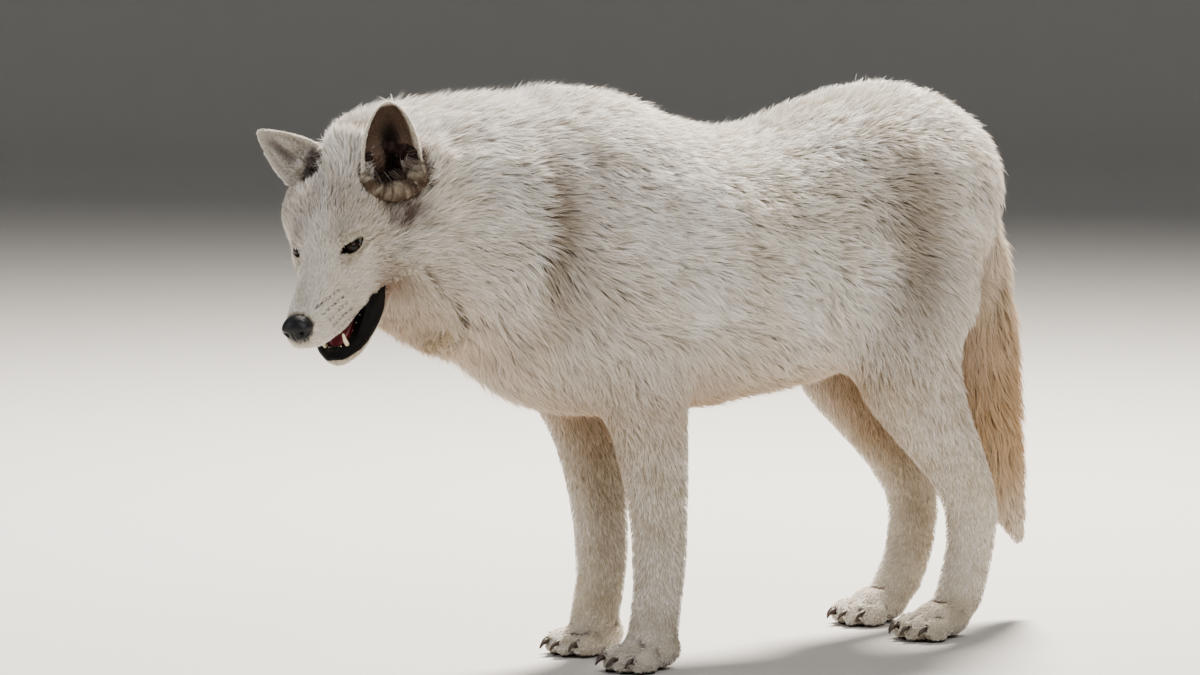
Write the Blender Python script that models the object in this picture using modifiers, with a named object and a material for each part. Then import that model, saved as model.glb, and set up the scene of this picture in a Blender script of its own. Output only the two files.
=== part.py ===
"""Arctic wolf (Canis lupus arctos), a still life-size standing figure with its head turned to its left.

Metres, +Z up. The wolf faces -Y and its left side is +X. The origin is on the floor, under the
middle of the figure's bounding box. Surfaces are the tips of the winter coat.
"""

import math

import bmesh
import bpy
import numpy as np
from mathutils import Matrix, Vector

# ---------------------------------------------------------------- driving dimensions
WITHERS_HEIGHT = 0.79      # floor to the coat's tips over the shoulders
TRUNK_LENGTH = 0.905       # breast to buttocks
CHEST_WIDTH = 0.33         # across the coat behind the elbows
EYE_RADIUS = 0.0125
STANCE = 0.082             # sideways distance of each foot from the middle plane
# how far back each foot stands, and the shoulder or hip above it
FEET = {
    ("front", "left"): (-0.212, -0.282),
    ("front", "right"): (-0.190, -0.282),
    ("hind", "left"): (0.286, 0.240),
    ("hind", "right"): (0.304, 0.266),
}
TRUNK_FRONT_Y = -0.485
BREAST_SECTIONS = 14       # sections of the trunk that stand upright, from the breast back

HEAD_PLACE = Vector((0.055, -0.708, 0.584))  # midway between the eyes
HEAD_YAW = math.radians(35)                    # turned to its own left
HEAD_PITCH = math.radians(28)                  # nose down
HEAD_ROLL = math.radians(6)                    # left side raised
JAW_OPEN = math.radians(17)
JAW_SLACK = math.radians(2)

GAP = 0.0003               # clearance between neighbouring pieces
RING = 40                  # points round a lofted section
BODY_VOXEL = 0.008
HEAD_VOXEL = 0.0032
PAW_VOXEL = 0.0035
JAW_VOXEL = 0.0018
BODY_TRIANGLES = 2150
HEAD_TRIANGLES = 1080
PAW_TRIANGLES = 175
JAW_TRIANGLES = 320

SIDES = {"left": 1, "right": -1}


# ---------------------------------------------------------------- scene and mesh helpers
def clear_scene():
    for obj in list(bpy.data.objects):
        bpy.data.objects.remove(obj)


def new_collection(name):
    collection = bpy.data.collections.new(name)
    bpy.context.scene.collection.children.link(collection)
    return collection


def material(name, colour, roughness):
    made = bpy.data.materials.new(name)
    made.use_nodes = True
    shader = made.node_tree.nodes["Principled BSDF"]
    shader.inputs["Base Color"].default_value = (*colour, 1)
    shader.inputs["Roughness"].default_value = roughness
    made.diffuse_color = (*colour, 1)
    return made


def object_from(name, bm, collection):
    bmesh.ops.recalc_face_normals(bm, faces=bm.faces)
    mesh = bpy.data.meshes.new(name)
    bm.to_mesh(mesh)
    bm.free()
    obj = bpy.data.objects.new(name, mesh)
    collection.objects.link(obj)
    return obj


def helper(obj):
    obj.hide_render = True
    obj.display_type = "WIRE"
    return obj


def apply_modifiers(obj):
    """Replaces the object's mesh by what its modifiers make of it."""
    graph = bpy.context.evaluated_depsgraph_get()
    made = bpy.data.meshes.new_from_object(obj.evaluated_get(graph))
    obj.modifiers.clear()
    obj.data = made
    return obj


def boolean(obj, other, operation):
    modifier = obj.modifiers.new(operation.title(), "BOOLEAN")
    modifier.operation = operation
    modifier.object = other
    return modifier


def carve(obj, *others, operation="DIFFERENCE"):
    for other in others:
        boolean(obj, other, operation)
    return apply_modifiers(obj)


def copy_of(obj, name, collection):
    made = obj.copy()
    made.data = obj.data.copy()
    made.name = name
    made.hide_render = False
    made.display_type = "TEXTURED"
    collection.objects.link(made)
    return made


def grown(obj, by, collection):
    """A helper copy of obj with its surface moved out along its normals."""
    made = helper(copy_of(obj, obj.name + ".grown", collection))
    move = made.modifiers.new("Grow", "DISPLACE")
    move.strength = by
    move.mid_level = 0
    return apply_modifiers(made)


# ---------------------------------------------------------------- forms
def through(rows, count):
    """A smooth curve through the rows of numbers, as count evenly spaced rows."""
    rows = np.array(rows, float)
    steps = np.linalg.norm(np.diff(rows[:, :3], axis=0), axis=1)
    knots = np.concatenate([[0], np.cumsum(steps)])
    slopes = np.gradient(rows, knots, axis=0)
    at = np.linspace(0, knots[-1], count)
    k = np.clip(np.searchsorted(knots, at, side="right") - 1, 0, len(rows) - 2)
    span = (knots[k + 1] - knots[k])[:, None]
    t = (at - knots[k])[:, None] / span
    return (
        (2 * t**3 - 3 * t**2 + 1) * rows[k]
        + (t**3 - 2 * t**2 + t) * span * slopes[k]
        + (3 * t**2 - 2 * t**3) * rows[k + 1]
        + (t**3 - t**2) * span * slopes[k + 1]
    )


def ring(centre, side, over, wide, above, below, points, square):
    """A section: an oval with its own height above and below its widest line."""
    made = []
    for i in range(points):
        c = math.cos(2 * math.pi * i / points)
        s = math.sin(2 * math.pi * i / points)
        x = math.copysign(abs(c) ** (2 / square), c) * wide
        y = math.copysign(abs(s) ** (2 / square), s) * (above if s > 0 else below)
        made.append(centre + side * x + over * y)
    return made


def add_loft(bm, rings):
    loops = [[bm.verts.new(p) for p in points] for points in rings]
    for a, b in zip(loops, loops[1:]):
        for i in range(len(a)):
            j = (i + 1) % len(a)
            bm.faces.new((a[i], a[j], b[j], b[i]))
    bm.faces.new(loops[0])
    bm.faces.new(loops[-1])


def add_tube(bm, rows, count, side=None, place=Matrix(), points=RING, square=2.2, upright=0):
    """Lofts rows of (x, y, z, half width, half height above, half height below).

    The first few sections, as many as upright says, stand straight up instead of across the tube.
    """
    rows = through(rows, count)
    centres = [Vector(row[:3]) for row in rows]
    rings = []
    for i, row in enumerate(rows):
        ahead = centres[min(i + 1, count - 1)] - centres[max(i - 1, 0)]
        across = side or ahead.cross(Vector((0, 0, 1))).normalized()
        over = Vector((0, 0, 1)) if i < upright else across.cross(ahead).normalized()
        wide, above, below = (max(0.002, r) for r in row[3:6])
        section = ring(centres[i], across, over, wide, above, below, points, square)
        rings.append([place @ p for p in section])
    add_loft(bm, rings)


def add_ellipsoid(bm, centre, radii, place=Matrix(), round_steps=20):
    matrix = place @ Matrix.Translation(centre) @ Matrix.Diagonal((*radii, 1))
    rows = round_steps // 2
    bmesh.ops.create_uvsphere(bm, u_segments=round_steps, v_segments=rows, radius=1, matrix=matrix)


def fuse(obj, voxel, smoothing, triangles):
    """Joins the object's overlapping closed forms into one soft skin of about that many triangles."""
    remesh = obj.modifiers.new("Fuse", "REMESH")
    remesh.mode = "VOXEL"
    remesh.voxel_size = voxel
    smooth = obj.modifiers.new("Soften", "SMOOTH")
    smooth.factor = 0.5
    smooth.iterations = smoothing
    apply_modifiers(obj)
    obj.data.calc_loop_triangles()
    reduce = obj.modifiers.new("Reduce", "DECIMATE")
    reduce.ratio = triangles / len(obj.data.loop_triangles)
    return apply_modifiers(obj)


def region(name, planes, collection, grow=0.0):
    """The space inside all the planes, each a point and an outward normal, moved out by grow."""
    bm = bmesh.new()
    bmesh.ops.create_cube(bm, size=4)
    for point, normal in planes:
        normal = Vector(normal).normalized()
        bmesh.ops.bisect_plane(
            bm,
            geom=bm.verts[:] + bm.edges[:] + bm.faces[:],
            plane_co=Vector(point) + normal * grow,
            plane_no=normal,
            clear_outer=True,
        )
        rim = [edge for edge in bm.edges if edge.is_boundary]
        bmesh.ops.contextual_create(bm, geom=rim)
    return helper(object_from(name, bm, collection))


# ---------------------------------------------------------------- trunk, neck, legs and tail
# Share of the trunk's length from the breast, top and bottom as shares of the withers' height,
# and half width as a share of the chest's width.
TRUNK_STATIONS = (
    (0.00, 0.70, 0.58, 0.12),    # breast
    (0.05, 0.84, 0.50, 0.30),
    (0.13, 0.985, 0.445, 0.44),  # point of the shoulder
    (0.19, 0.995, 0.428, 0.48),  # withers
    (0.33, 0.947, 0.422, 0.50),  # chest
    (0.44, 0.920, 0.426, 0.49),
    (0.52, 0.918, 0.438, 0.46),  # back
    (0.62, 0.940, 0.455, 0.44),  # loin
    (0.73, 0.978, 0.49, 0.43),
    (0.80, 0.990, 0.52, 0.42),   # rump
    (0.88, 0.955, 0.545, 0.37),  # croup
    (0.95, 0.875, 0.58, 0.27),
    (1.00, 0.74, 0.66, 0.10),    # buttocks
)

# x, y, z, half width, half height above and below
NECK_ROWS = (
    (0.000, -0.300, 0.600, 0.150, 0.170, 0.200),
    (0.000, -0.420, 0.605, 0.145, 0.175, 0.200),
    (0.006, -0.510, 0.608, 0.126, 0.170, 0.182),
    (0.014, -0.585, 0.606, 0.104, 0.162, 0.160),
    (0.026, -0.640, 0.590, 0.084, 0.145, 0.128),
    (0.038, -0.685, 0.580, 0.050, 0.080, 0.080),
)

# outwards from the stance line, back from the line up from the foot, z, half width, behind and in front
LEG_ROWS = {
    "front": (
        (0.006, 0.000, 0.600, 0.040, 0.080, 0.085),   # shoulder
        (0.018, 0.006, 0.480, 0.056, 0.085, 0.088),   # upper arm
        (0.006, 0.025, 0.385, 0.048, 0.066, 0.078),   # elbow
        (0.000, 0.034, 0.300, 0.040, 0.054, 0.058),   # forearm
        (-0.002, 0.032, 0.220, 0.035, 0.046, 0.044),
        (-0.003, 0.026, 0.150, 0.035, 0.042, 0.037),  # carpus
        (-0.002, 0.015, 0.095, 0.032, 0.040, 0.034),  # pastern
        (0.000, 0.002, 0.050, 0.034, 0.036, 0.034),
        (0.000, -0.004, 0.030, 0.030, 0.030, 0.030),
    ),
    "hind": (
        (-0.020, 0.000, 0.600, 0.050, 0.090, 0.090),  # hip
        (0.002, -0.021, 0.500, 0.066, 0.115, 0.122),  # thigh
        (0.004, -0.037, 0.405, 0.058, 0.092, 0.100),  # stifle
        (0.000, 0.004, 0.315, 0.044, 0.058, 0.072),   # gaskin
        (-0.002, 0.046, 0.240, 0.035, 0.044, 0.052),
        (-0.004, 0.066, 0.180, 0.031, 0.044, 0.044),  # hock
        (-0.004, 0.058, 0.125, 0.029, 0.042, 0.038),
        (-0.003, 0.039, 0.072, 0.030, 0.040, 0.036),
        (0.000, 0.023, 0.045, 0.032, 0.034, 0.034),
        (0.000, 0.018, 0.030, 0.028, 0.028, 0.028),
    ),
}
JOINT_HEIGHT = 0.60    # of the shoulder and the hip

# x, y, z, half width, half height behind and in front
TAIL_ROWS = (
    (0.000, 0.320, 0.640, 0.046, 0.045, 0.045),
    (0.000, 0.372, 0.605, 0.048, 0.048, 0.046),
    (-0.004, 0.404, 0.540, 0.052, 0.050, 0.044),
    (-0.010, 0.420, 0.450, 0.058, 0.054, 0.046),
    (-0.016, 0.434, 0.350, 0.060, 0.056, 0.050),
    (-0.020, 0.456, 0.250, 0.050, 0.050, 0.044),
    (-0.022, 0.484, 0.170, 0.034, 0.034, 0.032),
    (-0.024, 0.514, 0.105, 0.008, 0.008, 0.008),
)

TOE_ROWS = ((-0.033, 0.038), (-0.0125, 0.054), (0.0125, 0.054), (0.033, 0.038))  # across, ahead of the foot
TOE_RADII = (0.0132, 0.0270, 0.0195)
PAW_TOP = 0.052


def trunk_rows():
    rows = []
    for along, top, bottom, half_width in TRUNK_STATIONS:
        y = TRUNK_FRONT_Y + along * TRUNK_LENGTH
        high = top * WITHERS_HEIGHT
        low = bottom * WITHERS_HEIGHT
        widest = low + 0.5 * (high - low)
        rows.append((0, y, widest, half_width * CHEST_WIDTH, high - widest, widest - low))
    return rows


def leg_rows(end, side):
    foot_y, joint_y = FEET[end, side]
    rows = []
    for outward, back, z, wide, behind, front in LEG_ROWS[end]:
        y = foot_y + (joint_y - foot_y) * z / JOINT_HEIGHT + back
        rows.append((SIDES[side] * (STANCE + outward), y, z, wide, behind, front))
    return rows


def make_body(collection):
    """The trunk, neck and legs in one skin, before it is parted."""
    bm = bmesh.new()
    add_tube(bm, trunk_rows(), 60, upright=BREAST_SECTIONS)
    add_tube(bm, NECK_ROWS, 24, square=2)
    add_tube(bm, HEAD_ROWS[:5], 14, place=HEAD)
    for side in SIDES:
        for end in LEG_ROWS:
            add_tube(bm, leg_rows(end, side), 40, side=Vector((1, 0, 0)))
    return helper(fuse(object_from("body", bm, collection), BODY_VOXEL, 10, BODY_TRIANGLES))


def foot_place(end, side):
    return Vector((SIDES[side] * STANCE, FEET[end, side][0], 0))


def make_paw(end, side, collection, tools):
    """Pads, toes and the foot of the leg, flat underneath at the floor."""
    place = Matrix.Translation(foot_place(end, side))
    bm = bmesh.new()
    add_ellipsoid(bm, (0, -0.004, 0.027), (0.036, 0.046, 0.0290), place=place)
    for across, ahead in TOE_ROWS:
        add_ellipsoid(bm, (across, -ahead, 0.0168), TOE_RADII, place=place)
    add_tube(bm, leg_rows(end, side)[-4:], 14, side=Vector((1, 0, 0)))
    paw = fuse(object_from(f"paw_{end}_{side}", bm, collection), PAW_VOXEL, 1, PAW_TRIANGLES)
    floor_up = ((0, 0, 0), (0, 0, -1))
    top_down = ((0, 0, PAW_TOP), (0, 0, 1))
    return carve(paw, region("paw.space", (floor_up, top_down), tools), operation="INTERSECT")


def make_claws(end, side, collection):
    """Four hooked claws, a little clear of the floor."""
    claws = []
    foot = foot_place(end, side)
    for number, (across, ahead) in enumerate(TOE_ROWS, start=1):
        root = foot + Vector((across, -ahead - 0.016, 0.0215))
        rows = (
            (*root, 0.0040, 0.0056, 0.0056),
            (*(root + Vector((0, -0.010, -0.001))), 0.0038, 0.0050, 0.0050),
            (*(root + Vector((0, -0.018, -0.006))), 0.0028, 0.0036, 0.0036),
            (*(root + Vector((0, -0.022, -0.013))), 0.0008, 0.0008, 0.0008),
        )
        bm = bmesh.new()
        add_tube(bm, rows, 4, points=6)
        claws.append(object_from(f"claw_{end}_{side}_{number}", bm, collection))
    return claws


def make_tail(collection):
    bm = bmesh.new()
    add_tube(bm, TAIL_ROWS, 12, points=14)
    return object_from("tail", bm, collection)


# ---------------------------------------------------------------- head, in its own frame
def head_matrix():
    """Head frame: +X towards the nose, +Y to the wolf's left, +Z up, from midway between the eyes."""
    turn = (
        Matrix.Rotation(HEAD_YAW - math.pi / 2, 4, "Z")
        @ Matrix.Rotation(HEAD_PITCH, 4, "Y")
        @ Matrix.Rotation(HEAD_ROLL, 4, "X")
    )
    return Matrix.Translation(HEAD_PLACE) @ turn


HEAD = head_matrix()
# the jaw's frame, from the hinge; the lower jaw hangs a little to the left
JAW = (HEAD @ Matrix.Translation((-0.040, 0, -0.055)) @ Matrix.Rotation(JAW_SLACK, 4, "Z")
       @ Matrix.Rotation(JAW_OPEN, 4, "Y"))
EYE_PLACE = Vector((-0.003, 0.0345, -0.001))
EYE_SLIT = Vector((-0.685, 0.711, 0.158))      # from the inner to the outer corner of the left eye
EYE_FACING = Vector((0.700, 0.690, 0.120))

# ahead of the eyes, sideways, up, half width, half height above and below
HEAD_ROWS = (
    (-0.215, 0, -0.040, 0.070, 0.050, 0.080),
    (-0.160, 0, -0.022, 0.100, 0.076, 0.120),
    (-0.112, 0, -0.010, 0.098, 0.086, 0.128),  # back of the skull and ruff
    (-0.068, 0, -0.004, 0.090, 0.070, 0.106),
    (-0.034, 0, -0.014, 0.066, 0.062, 0.082),  # forehead and cheeks
    (0.000, 0, -0.026, 0.048, 0.052, 0.060),   # eyes
    (0.030, 0, -0.033, 0.036, 0.040, 0.050),   # stop
    (0.065, 0, -0.041, 0.030, 0.037, 0.043),   # muzzle
    (0.100, 0, -0.045, 0.027, 0.031, 0.036),
    (0.125, 0, -0.046, 0.024, 0.026, 0.028),
    (0.139, 0, -0.046, 0.018, 0.020, 0.020),
)
MOUTH_ROWS = (
    (-0.020, 0, -0.090, 0.036, 0.014, 0.020),
    (0.030, 0, -0.090, 0.027, 0.026, 0.020),
    (0.080, 0, -0.090, 0.018, 0.028, 0.020),
    (0.112, 0, -0.090, 0.014, 0.025, 0.020),
    (0.122, 0, -0.090, 0.008, 0.018, 0.020),
)
# the upper lips, which hang outside the mouth on each side
UPPER_LIP_ROWS = (
    (-0.020, 0.048, -0.052, 0.008, 0.010, 0.010),
    (0.008, 0.040, -0.056, 0.009, 0.016, 0.016),
    (0.030, 0.030, -0.062, 0.009, 0.020, 0.021),
    (0.053, 0.023, -0.064, 0.009, 0.020, 0.025),
    (0.087, 0.018, -0.064, 0.009, 0.016, 0.020),
    (0.118, 0.010, -0.062, 0.008, 0.012, 0.014),
)
# ahead of the hinge, sideways, up, half width, half height above and below
JAW_ROWS = (
    (-0.004, 0, -0.031, 0.052, 0.014, 0.030),
    (0.030, 0, -0.031, 0.049, 0.013, 0.030),
    (0.080, 0, -0.032, 0.041, 0.013, 0.026),
    (0.112, 0, -0.032, 0.030, 0.012, 0.022),
    (0.133, 0, -0.031, 0.012, 0.008, 0.013),
)
# the slack lower lips, which stand up outside the teeth towards the corners of the mouth
LOWER_LIP_ROWS = (
    (0.000, 0.047, -0.032, 0.006, 0.010, 0.010),
    (0.030, 0.043, -0.027, 0.006, 0.020, 0.012),
    (0.060, 0.038, -0.026, 0.006, 0.022, 0.012),
    (0.080, 0.033, -0.027, 0.006, 0.016, 0.012),
    (0.100, 0.027, -0.028, 0.005, 0.010, 0.010),
)
TONGUE_ROWS = (
    (0.030, 0, -0.016, 0.020, 0.005, 0.006),
    (0.075, 0, -0.017, 0.018, 0.004, 0.006),
    (0.101, 0, -0.018, 0.015, 0.004, 0.005),
    (0.114, 0, -0.020, 0.008, 0.003, 0.003),
)
EARS = {
    # where it starts, which way it points and opens, all in the head's frame; its length and half
    # its width, low down; how it narrows
    "left": ((-0.077, 0.0715, 0.011), (-0.13, 0.17, 0.98), (0.76, 0.58, -0.08), 0.143, 0.044, (0.40, 2.4)),
    "right": ((-0.107, -0.055, 0.062), (-0.37, -0.80, 0.47), (0.74, 0.15, 0.66), 0.084, 0.040, (0.78, 1)),
}
EAR_THICK = 0.007
EAR_HOLLOW = ((0.007, 0, 0.071), (0.023, 0.041, 0.043))   # middle and reach of the dip before the left ear
EAR_STEPS = 10         # sections from the root to the tip
EAR_BACK = 8           # points across the back of a section
LIP_LINE = -0.089      # edge of the upper lips, below the eyes


def make_head(collection, tools):
    """The head with an open mouth: lips hang at the sides of a hollow palate."""
    bm = bmesh.new()
    add_tube(bm, HEAD_ROWS, 60, place=HEAD)
    for side in SIDES.values():
        add_ellipsoid(bm, (-0.012, side * 0.030, 0.016), (0.030, 0.022, 0.018), place=HEAD)   # brow
        add_ellipsoid(bm, (-0.078, side * 0.050, -0.046), (0.060, 0.038, 0.056), place=HEAD)  # cheek
        add_ellipsoid(bm, (0.095, side * 0.014, -0.060), (0.042, 0.016, 0.020), place=HEAD)   # lip pad
        add_tube(bm, [(x, side * y, *rest) for x, y, *rest in UPPER_LIP_ROWS], 14, place=HEAD)
    add_tube(bm, NECK_ROWS[1:], 24, square=2)
    head = fuse(object_from("head", bm, collection), HEAD_VOXEL, 22, HEAD_TRIANGLES)
    bm = bmesh.new()
    add_tube(bm, MOUTH_ROWS, 10, place=HEAD, points=16)
    palate = helper(object_from("palate.space", bm, tools))
    turn = HEAD.to_3x3()
    behind_lips = (HEAD @ Vector((-0.026, 0, 0)), turn @ Vector((-1, 0, 0.25)))
    under_lips = (HEAD @ Vector((0.053, 0, LIP_LINE)), turn @ Vector((0.27, 0, 1)))
    bm = bmesh.new()
    add_ellipsoid(bm, *EAR_HOLLOW, place=ear_frame("left"), round_steps=10)
    ear_hollow = helper(object_from("ear.space", bm, tools))
    return carve(head, palate, ear_hollow, region("lips.space", (behind_lips, under_lips), tools))


def ear_frame(side):
    """X the way the ear opens, Y across it and Z to its tip, from its root."""
    start, axis, opening = (Vector(v) for v in EARS[side][:3])
    axis.normalize()
    opening = (opening - axis * axis.dot(opening)).normalized()
    turn = Matrix((opening, axis.cross(opening), axis)).transposed().to_4x4()
    return HEAD @ Matrix.Translation(start) @ turn


def make_ear(side, collection):
    """A cupped shell with a round tip."""
    length, width, (slim, power) = EARS[side][3:]
    place = ear_frame(side)
    rings = []
    for step in range(EAR_STEPS):
        t = 0.997 * math.sin(0.5 * math.pi * step / (EAR_STEPS - 1))
        taper = (1 - slim * t ** power) * (0.86 + 0.5 * t * (1 - t))
        half = width * taper * math.sqrt(1 - t ** 8)
        cup = 0.62 * half
        thick = min(EAR_THICK, 0.45 * half)
        angles = [math.pi * i / (EAR_BACK - 1) for i in range(EAR_BACK)]
        outer = [(-cup * math.sin(a), half * math.cos(a), length * t) for a in angles]
        inner = [(-max(0.0, cup * math.sin(a) - thick), (half - 0.6 * thick) * math.cos(a), length * t)
                 for a in angles[-2:0:-1]]
        rings.append([place @ Vector(p) for p in outer + inner])
    bm = bmesh.new()
    add_loft(bm, rings)
    return object_from(f"ear_{side}", bm, collection)


def mirrored(vector, side):
    return Vector((vector.x, SIDES[side] * vector.y, vector.z))


def make_eye(side, collection):
    bm = bmesh.new()
    add_ellipsoid(bm, mirrored(EYE_PLACE, side), [EYE_RADIUS] * 3, place=HEAD, round_steps=14)
    return object_from(f"eye_{side}", bm, collection)


def make_lid_space(side, tools):
    """The opening between the lids, a flat almond in front of the eye."""
    along = mirrored(EYE_SLIT, side).normalized()
    facing = mirrored(EYE_FACING, side)
    facing = (facing - along * facing.dot(along)).normalized()
    turn = Matrix((facing, along, facing.cross(along))).transposed().to_4x4()
    place = HEAD @ Matrix.Translation(mirrored(EYE_PLACE, side) + 0.012 * facing) @ turn
    bm = bmesh.new()
    add_ellipsoid(bm, (0, 0, 0), (0.012, 0.0170, 0.0075), place=place, round_steps=12)
    return helper(object_from("lid.space", bm, tools))


def make_nose(collection):
    bm = bmesh.new()
    add_ellipsoid(bm, (0.133, 0, -0.037), (0.0165, 0.0200, 0.0180), place=HEAD, round_steps=14)
    return object_from("nose", bm, collection)


def make_jaw(collection):
    """The lower jaw with its row of small front teeth."""
    bm = bmesh.new()
    add_tube(bm, JAW_ROWS, 14, place=JAW)
    for side in SIDES.values():
        add_tube(bm, [(x, side * y, *rest) for x, y, *rest in LOWER_LIP_ROWS], 12, place=JAW)
    for across in (-0.0075, -0.0025, 0.0025, 0.0075):
        add_ellipsoid(bm, (0.122 - 15 * across ** 2, across, -0.0185), (0.0028, 0.0024, 0.0050), place=JAW)
    return fuse(object_from("lower_jaw", bm, collection), JAW_VOXEL, 1, JAW_TRIANGLES)


def make_tongue(collection):
    bm = bmesh.new()
    add_tube(bm, TONGUE_ROWS, 6, place=JAW, points=10)
    return object_from("tongue", bm, collection)


def make_canine(jaw, side, collection):
    """A curved cone, upright from the lower jaw or hanging from the upper one."""
    place, root, rise = (JAW, (0.112, 0.0150, -0.024), 0.020)
    if jaw == "upper":
        place, root, rise = (HEAD, (0.108, 0.0160, -0.058), -0.019)
    x, y, z = root
    y *= SIDES[side]
    rows = (
        (x, y, z, 0.0034, 0.0042, 0.0042),
        (x + 0.001, y * 1.03, z + 0.5 * rise, 0.0030, 0.0036, 0.0036),
        (x - 0.002, y * 1.06, z + rise, 0.0006, 0.0006, 0.0006),
    )
    bm = bmesh.new()
    add_tube(bm, rows, 5, side=Vector((0, 1, 0)), place=place, points=6)
    return object_from(f"canine_{jaw}_{side}", bm, collection)


# ---------------------------------------------------------------- parting
HEAD_CUT = (HEAD @ Vector((-0.148, 0, -0.02)), Vector((-0.25, 0.93, 0.20)))   # outwards from the head
NECK_CUT = (Vector((0, -0.425, 0.62)), Vector((0, 0.94, -0.34)))              # outwards from the neck
LEG_CUTS = {
    "front": {"inner": 0.012, "height": 0.345, "rise": 0.75, "ends": (-0.400, -0.105)},
    "hind": {"inner": 0.006, "height": 0.400, "rise": 0.80, "ends": (0.085, 0.60)},
}


def flipped(cut):
    point, normal = cut
    return (point, -normal)


def leg_planes(end, side):
    cut = LEG_CUTS[end]
    sign = SIDES[side]
    front, back = cut["ends"]
    return (
        ((sign * cut["inner"], 0, 0), (-sign, 0, 0)),
        ((sign * cut["inner"], 0, cut["height"]), (-sign * cut["rise"], 0, 1)),
        ((0, front, 0), (0, -1, 0)),
        ((0, back, 0), (0, 1, 0)),
    )


def part_body(body, head, tools, solids):
    """Cuts the fused body into head, neck, trunk and legs, with a thin gap at every joint."""
    carve(head, region("head.space", (HEAD_CUT,), tools), operation="INTERSECT")
    above_paws = ((0, 0, PAW_TOP + GAP), (0, 0, -1))
    neck = copy_of(body, "neck", solids)
    neck_space = region("neck.space", (flipped(HEAD_CUT), NECK_CUT), tools, grow=-GAP)
    carve(neck, neck_space, operation="INTERSECT")
    trunk = copy_of(body, "trunk", solids)
    carve(trunk, region("trunk.space", (flipped(NECK_CUT),), tools), operation="INTERSECT")
    for end in LEG_CUTS:
        for side in SIDES:
            planes = leg_planes(end, side)
            leg = copy_of(body, f"leg_{end}_{side}", solids)
            carve(leg, region("leg.space", (*planes, above_paws), tools), operation="INTERSECT")
            carve(trunk, region("leg.space", planes, tools, grow=GAP))
    return trunk


# ---------------------------------------------------------------- materials and assembly
def make_materials():
    """By the first word of the pieces' names; every other piece wears the coat."""
    return {
        "coat": material("winter coat", (0.78, 0.74, 0.65), 0.9),
        "nose": material("nose leather", (0.012, 0.012, 0.016), 0.45),
        "eye": material("eye", (0.045, 0.022, 0.010), 0.08),
        "claw": material("claw horn", (0.060, 0.042, 0.030), 0.4),
        "canine": material("tooth enamel", (0.76, 0.68, 0.50), 0.3),
        "tongue": material("tongue", (0.26, 0.045, 0.055), 0.4),
    }


def set_on_floor(solids):
    """Moves every piece so that the middle of the figure's box is over the origin."""
    corners = np.array([v.co for obj in solids.objects for v in obj.data.vertices])
    middle = 0.5 * (corners.min(axis=0) + corners.max(axis=0))
    shift = Matrix.Translation((-middle[0], -middle[1], -corners.min(axis=0)[2]))
    for obj in solids.objects:
        obj.data.transform(shift)


def finish():
    solids = new_collection("arctic_wolf")
    tools = new_collection("cutters")
    head = make_head(solids, tools)
    trunk = part_body(make_body(tools), head, tools, solids)
    tail = make_tail(solids)
    carve(tail, grown(trunk, GAP, tools))
    nose = make_nose(solids)
    carve(head, grown(nose, GAP, tools))
    jaw = make_jaw(solids)
    tongue = make_tongue(solids)
    carve(jaw, grown(tongue, GAP, tools))
    for side in SIDES:
        eye = make_eye(side, solids)
        upper = make_canine("upper", side, solids)
        carve(head, make_lid_space(side, tools), grown(eye, GAP, tools), grown(upper, GAP, tools))
        lower = make_canine("lower", side, solids)
        carve(jaw, grown(lower, GAP, tools))
    whole_head = grown(head, GAP, tools)
    carve(jaw, whole_head)
    carve(tongue, whole_head)
    for side in SIDES:
        carve(make_ear(side, solids), whole_head)
    for end, side in FEET:
        paw = make_paw(end, side, solids, tools)
        claws = make_claws(end, side, solids)
        carve(paw, *(grown(claw, GAP, tools) for claw in claws))
    materials = make_materials()
    for obj in solids.objects:
        obj.data.materials.clear()
        obj.data.materials.append(materials.get(obj.name.split("_")[0], materials["coat"]))
    set_on_floor(solids)


clear_scene()
finish()
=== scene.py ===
# Arctic wolf, standing, life size: skin, coat, eyes, nose, mouth, claws, whiskers, floor, light and camera
# Metres, +Z up. The wolf faces -Y and its left side is +X
import math

import bmesh
import bpy
import numpy as np
from mathutils import Matrix, Vector
from mathutils.bvhtree import BVHTree


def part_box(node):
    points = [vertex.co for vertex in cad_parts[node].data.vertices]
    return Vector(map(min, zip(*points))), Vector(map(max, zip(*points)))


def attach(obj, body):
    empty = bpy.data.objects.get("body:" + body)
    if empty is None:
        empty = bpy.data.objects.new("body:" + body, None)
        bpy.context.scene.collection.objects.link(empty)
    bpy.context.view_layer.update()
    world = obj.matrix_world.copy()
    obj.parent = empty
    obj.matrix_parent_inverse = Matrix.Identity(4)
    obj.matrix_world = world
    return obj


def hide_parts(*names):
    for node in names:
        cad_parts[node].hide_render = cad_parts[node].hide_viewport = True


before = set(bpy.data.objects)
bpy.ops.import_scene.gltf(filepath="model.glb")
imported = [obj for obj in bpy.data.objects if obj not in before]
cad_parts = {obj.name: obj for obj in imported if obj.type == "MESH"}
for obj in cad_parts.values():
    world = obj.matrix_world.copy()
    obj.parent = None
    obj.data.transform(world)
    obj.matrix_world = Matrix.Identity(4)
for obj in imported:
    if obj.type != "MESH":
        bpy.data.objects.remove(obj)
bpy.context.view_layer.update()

sides = {"left": 1, "right": -1}
ends = ("front", "hind")
mm = 0.001


# Small helpers
def boxCentre(node):
    low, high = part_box(node)
    return 0.5 * (low + high)


def linear(hexColour):
    # sRGB hex to the renderer's linear colour
    parts = [int(hexColour[i:i + 2], 16) / 255 for i in (1, 3, 5)]
    return np.array([c / 12.92 if c <= 0.04045 else ((c + 0.055) / 1.055) ** 2.4 for c in parts])


def feed(tree, node, inputs):
    # An input's value is a number, a colour or the socket that feeds it
    for name, value in inputs.items():
        socket = node.inputs[name]
        if isinstance(value, bpy.types.NodeSocket):
            tree.links.new(value, socket)
        else:
            socket.default_value = value


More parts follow.
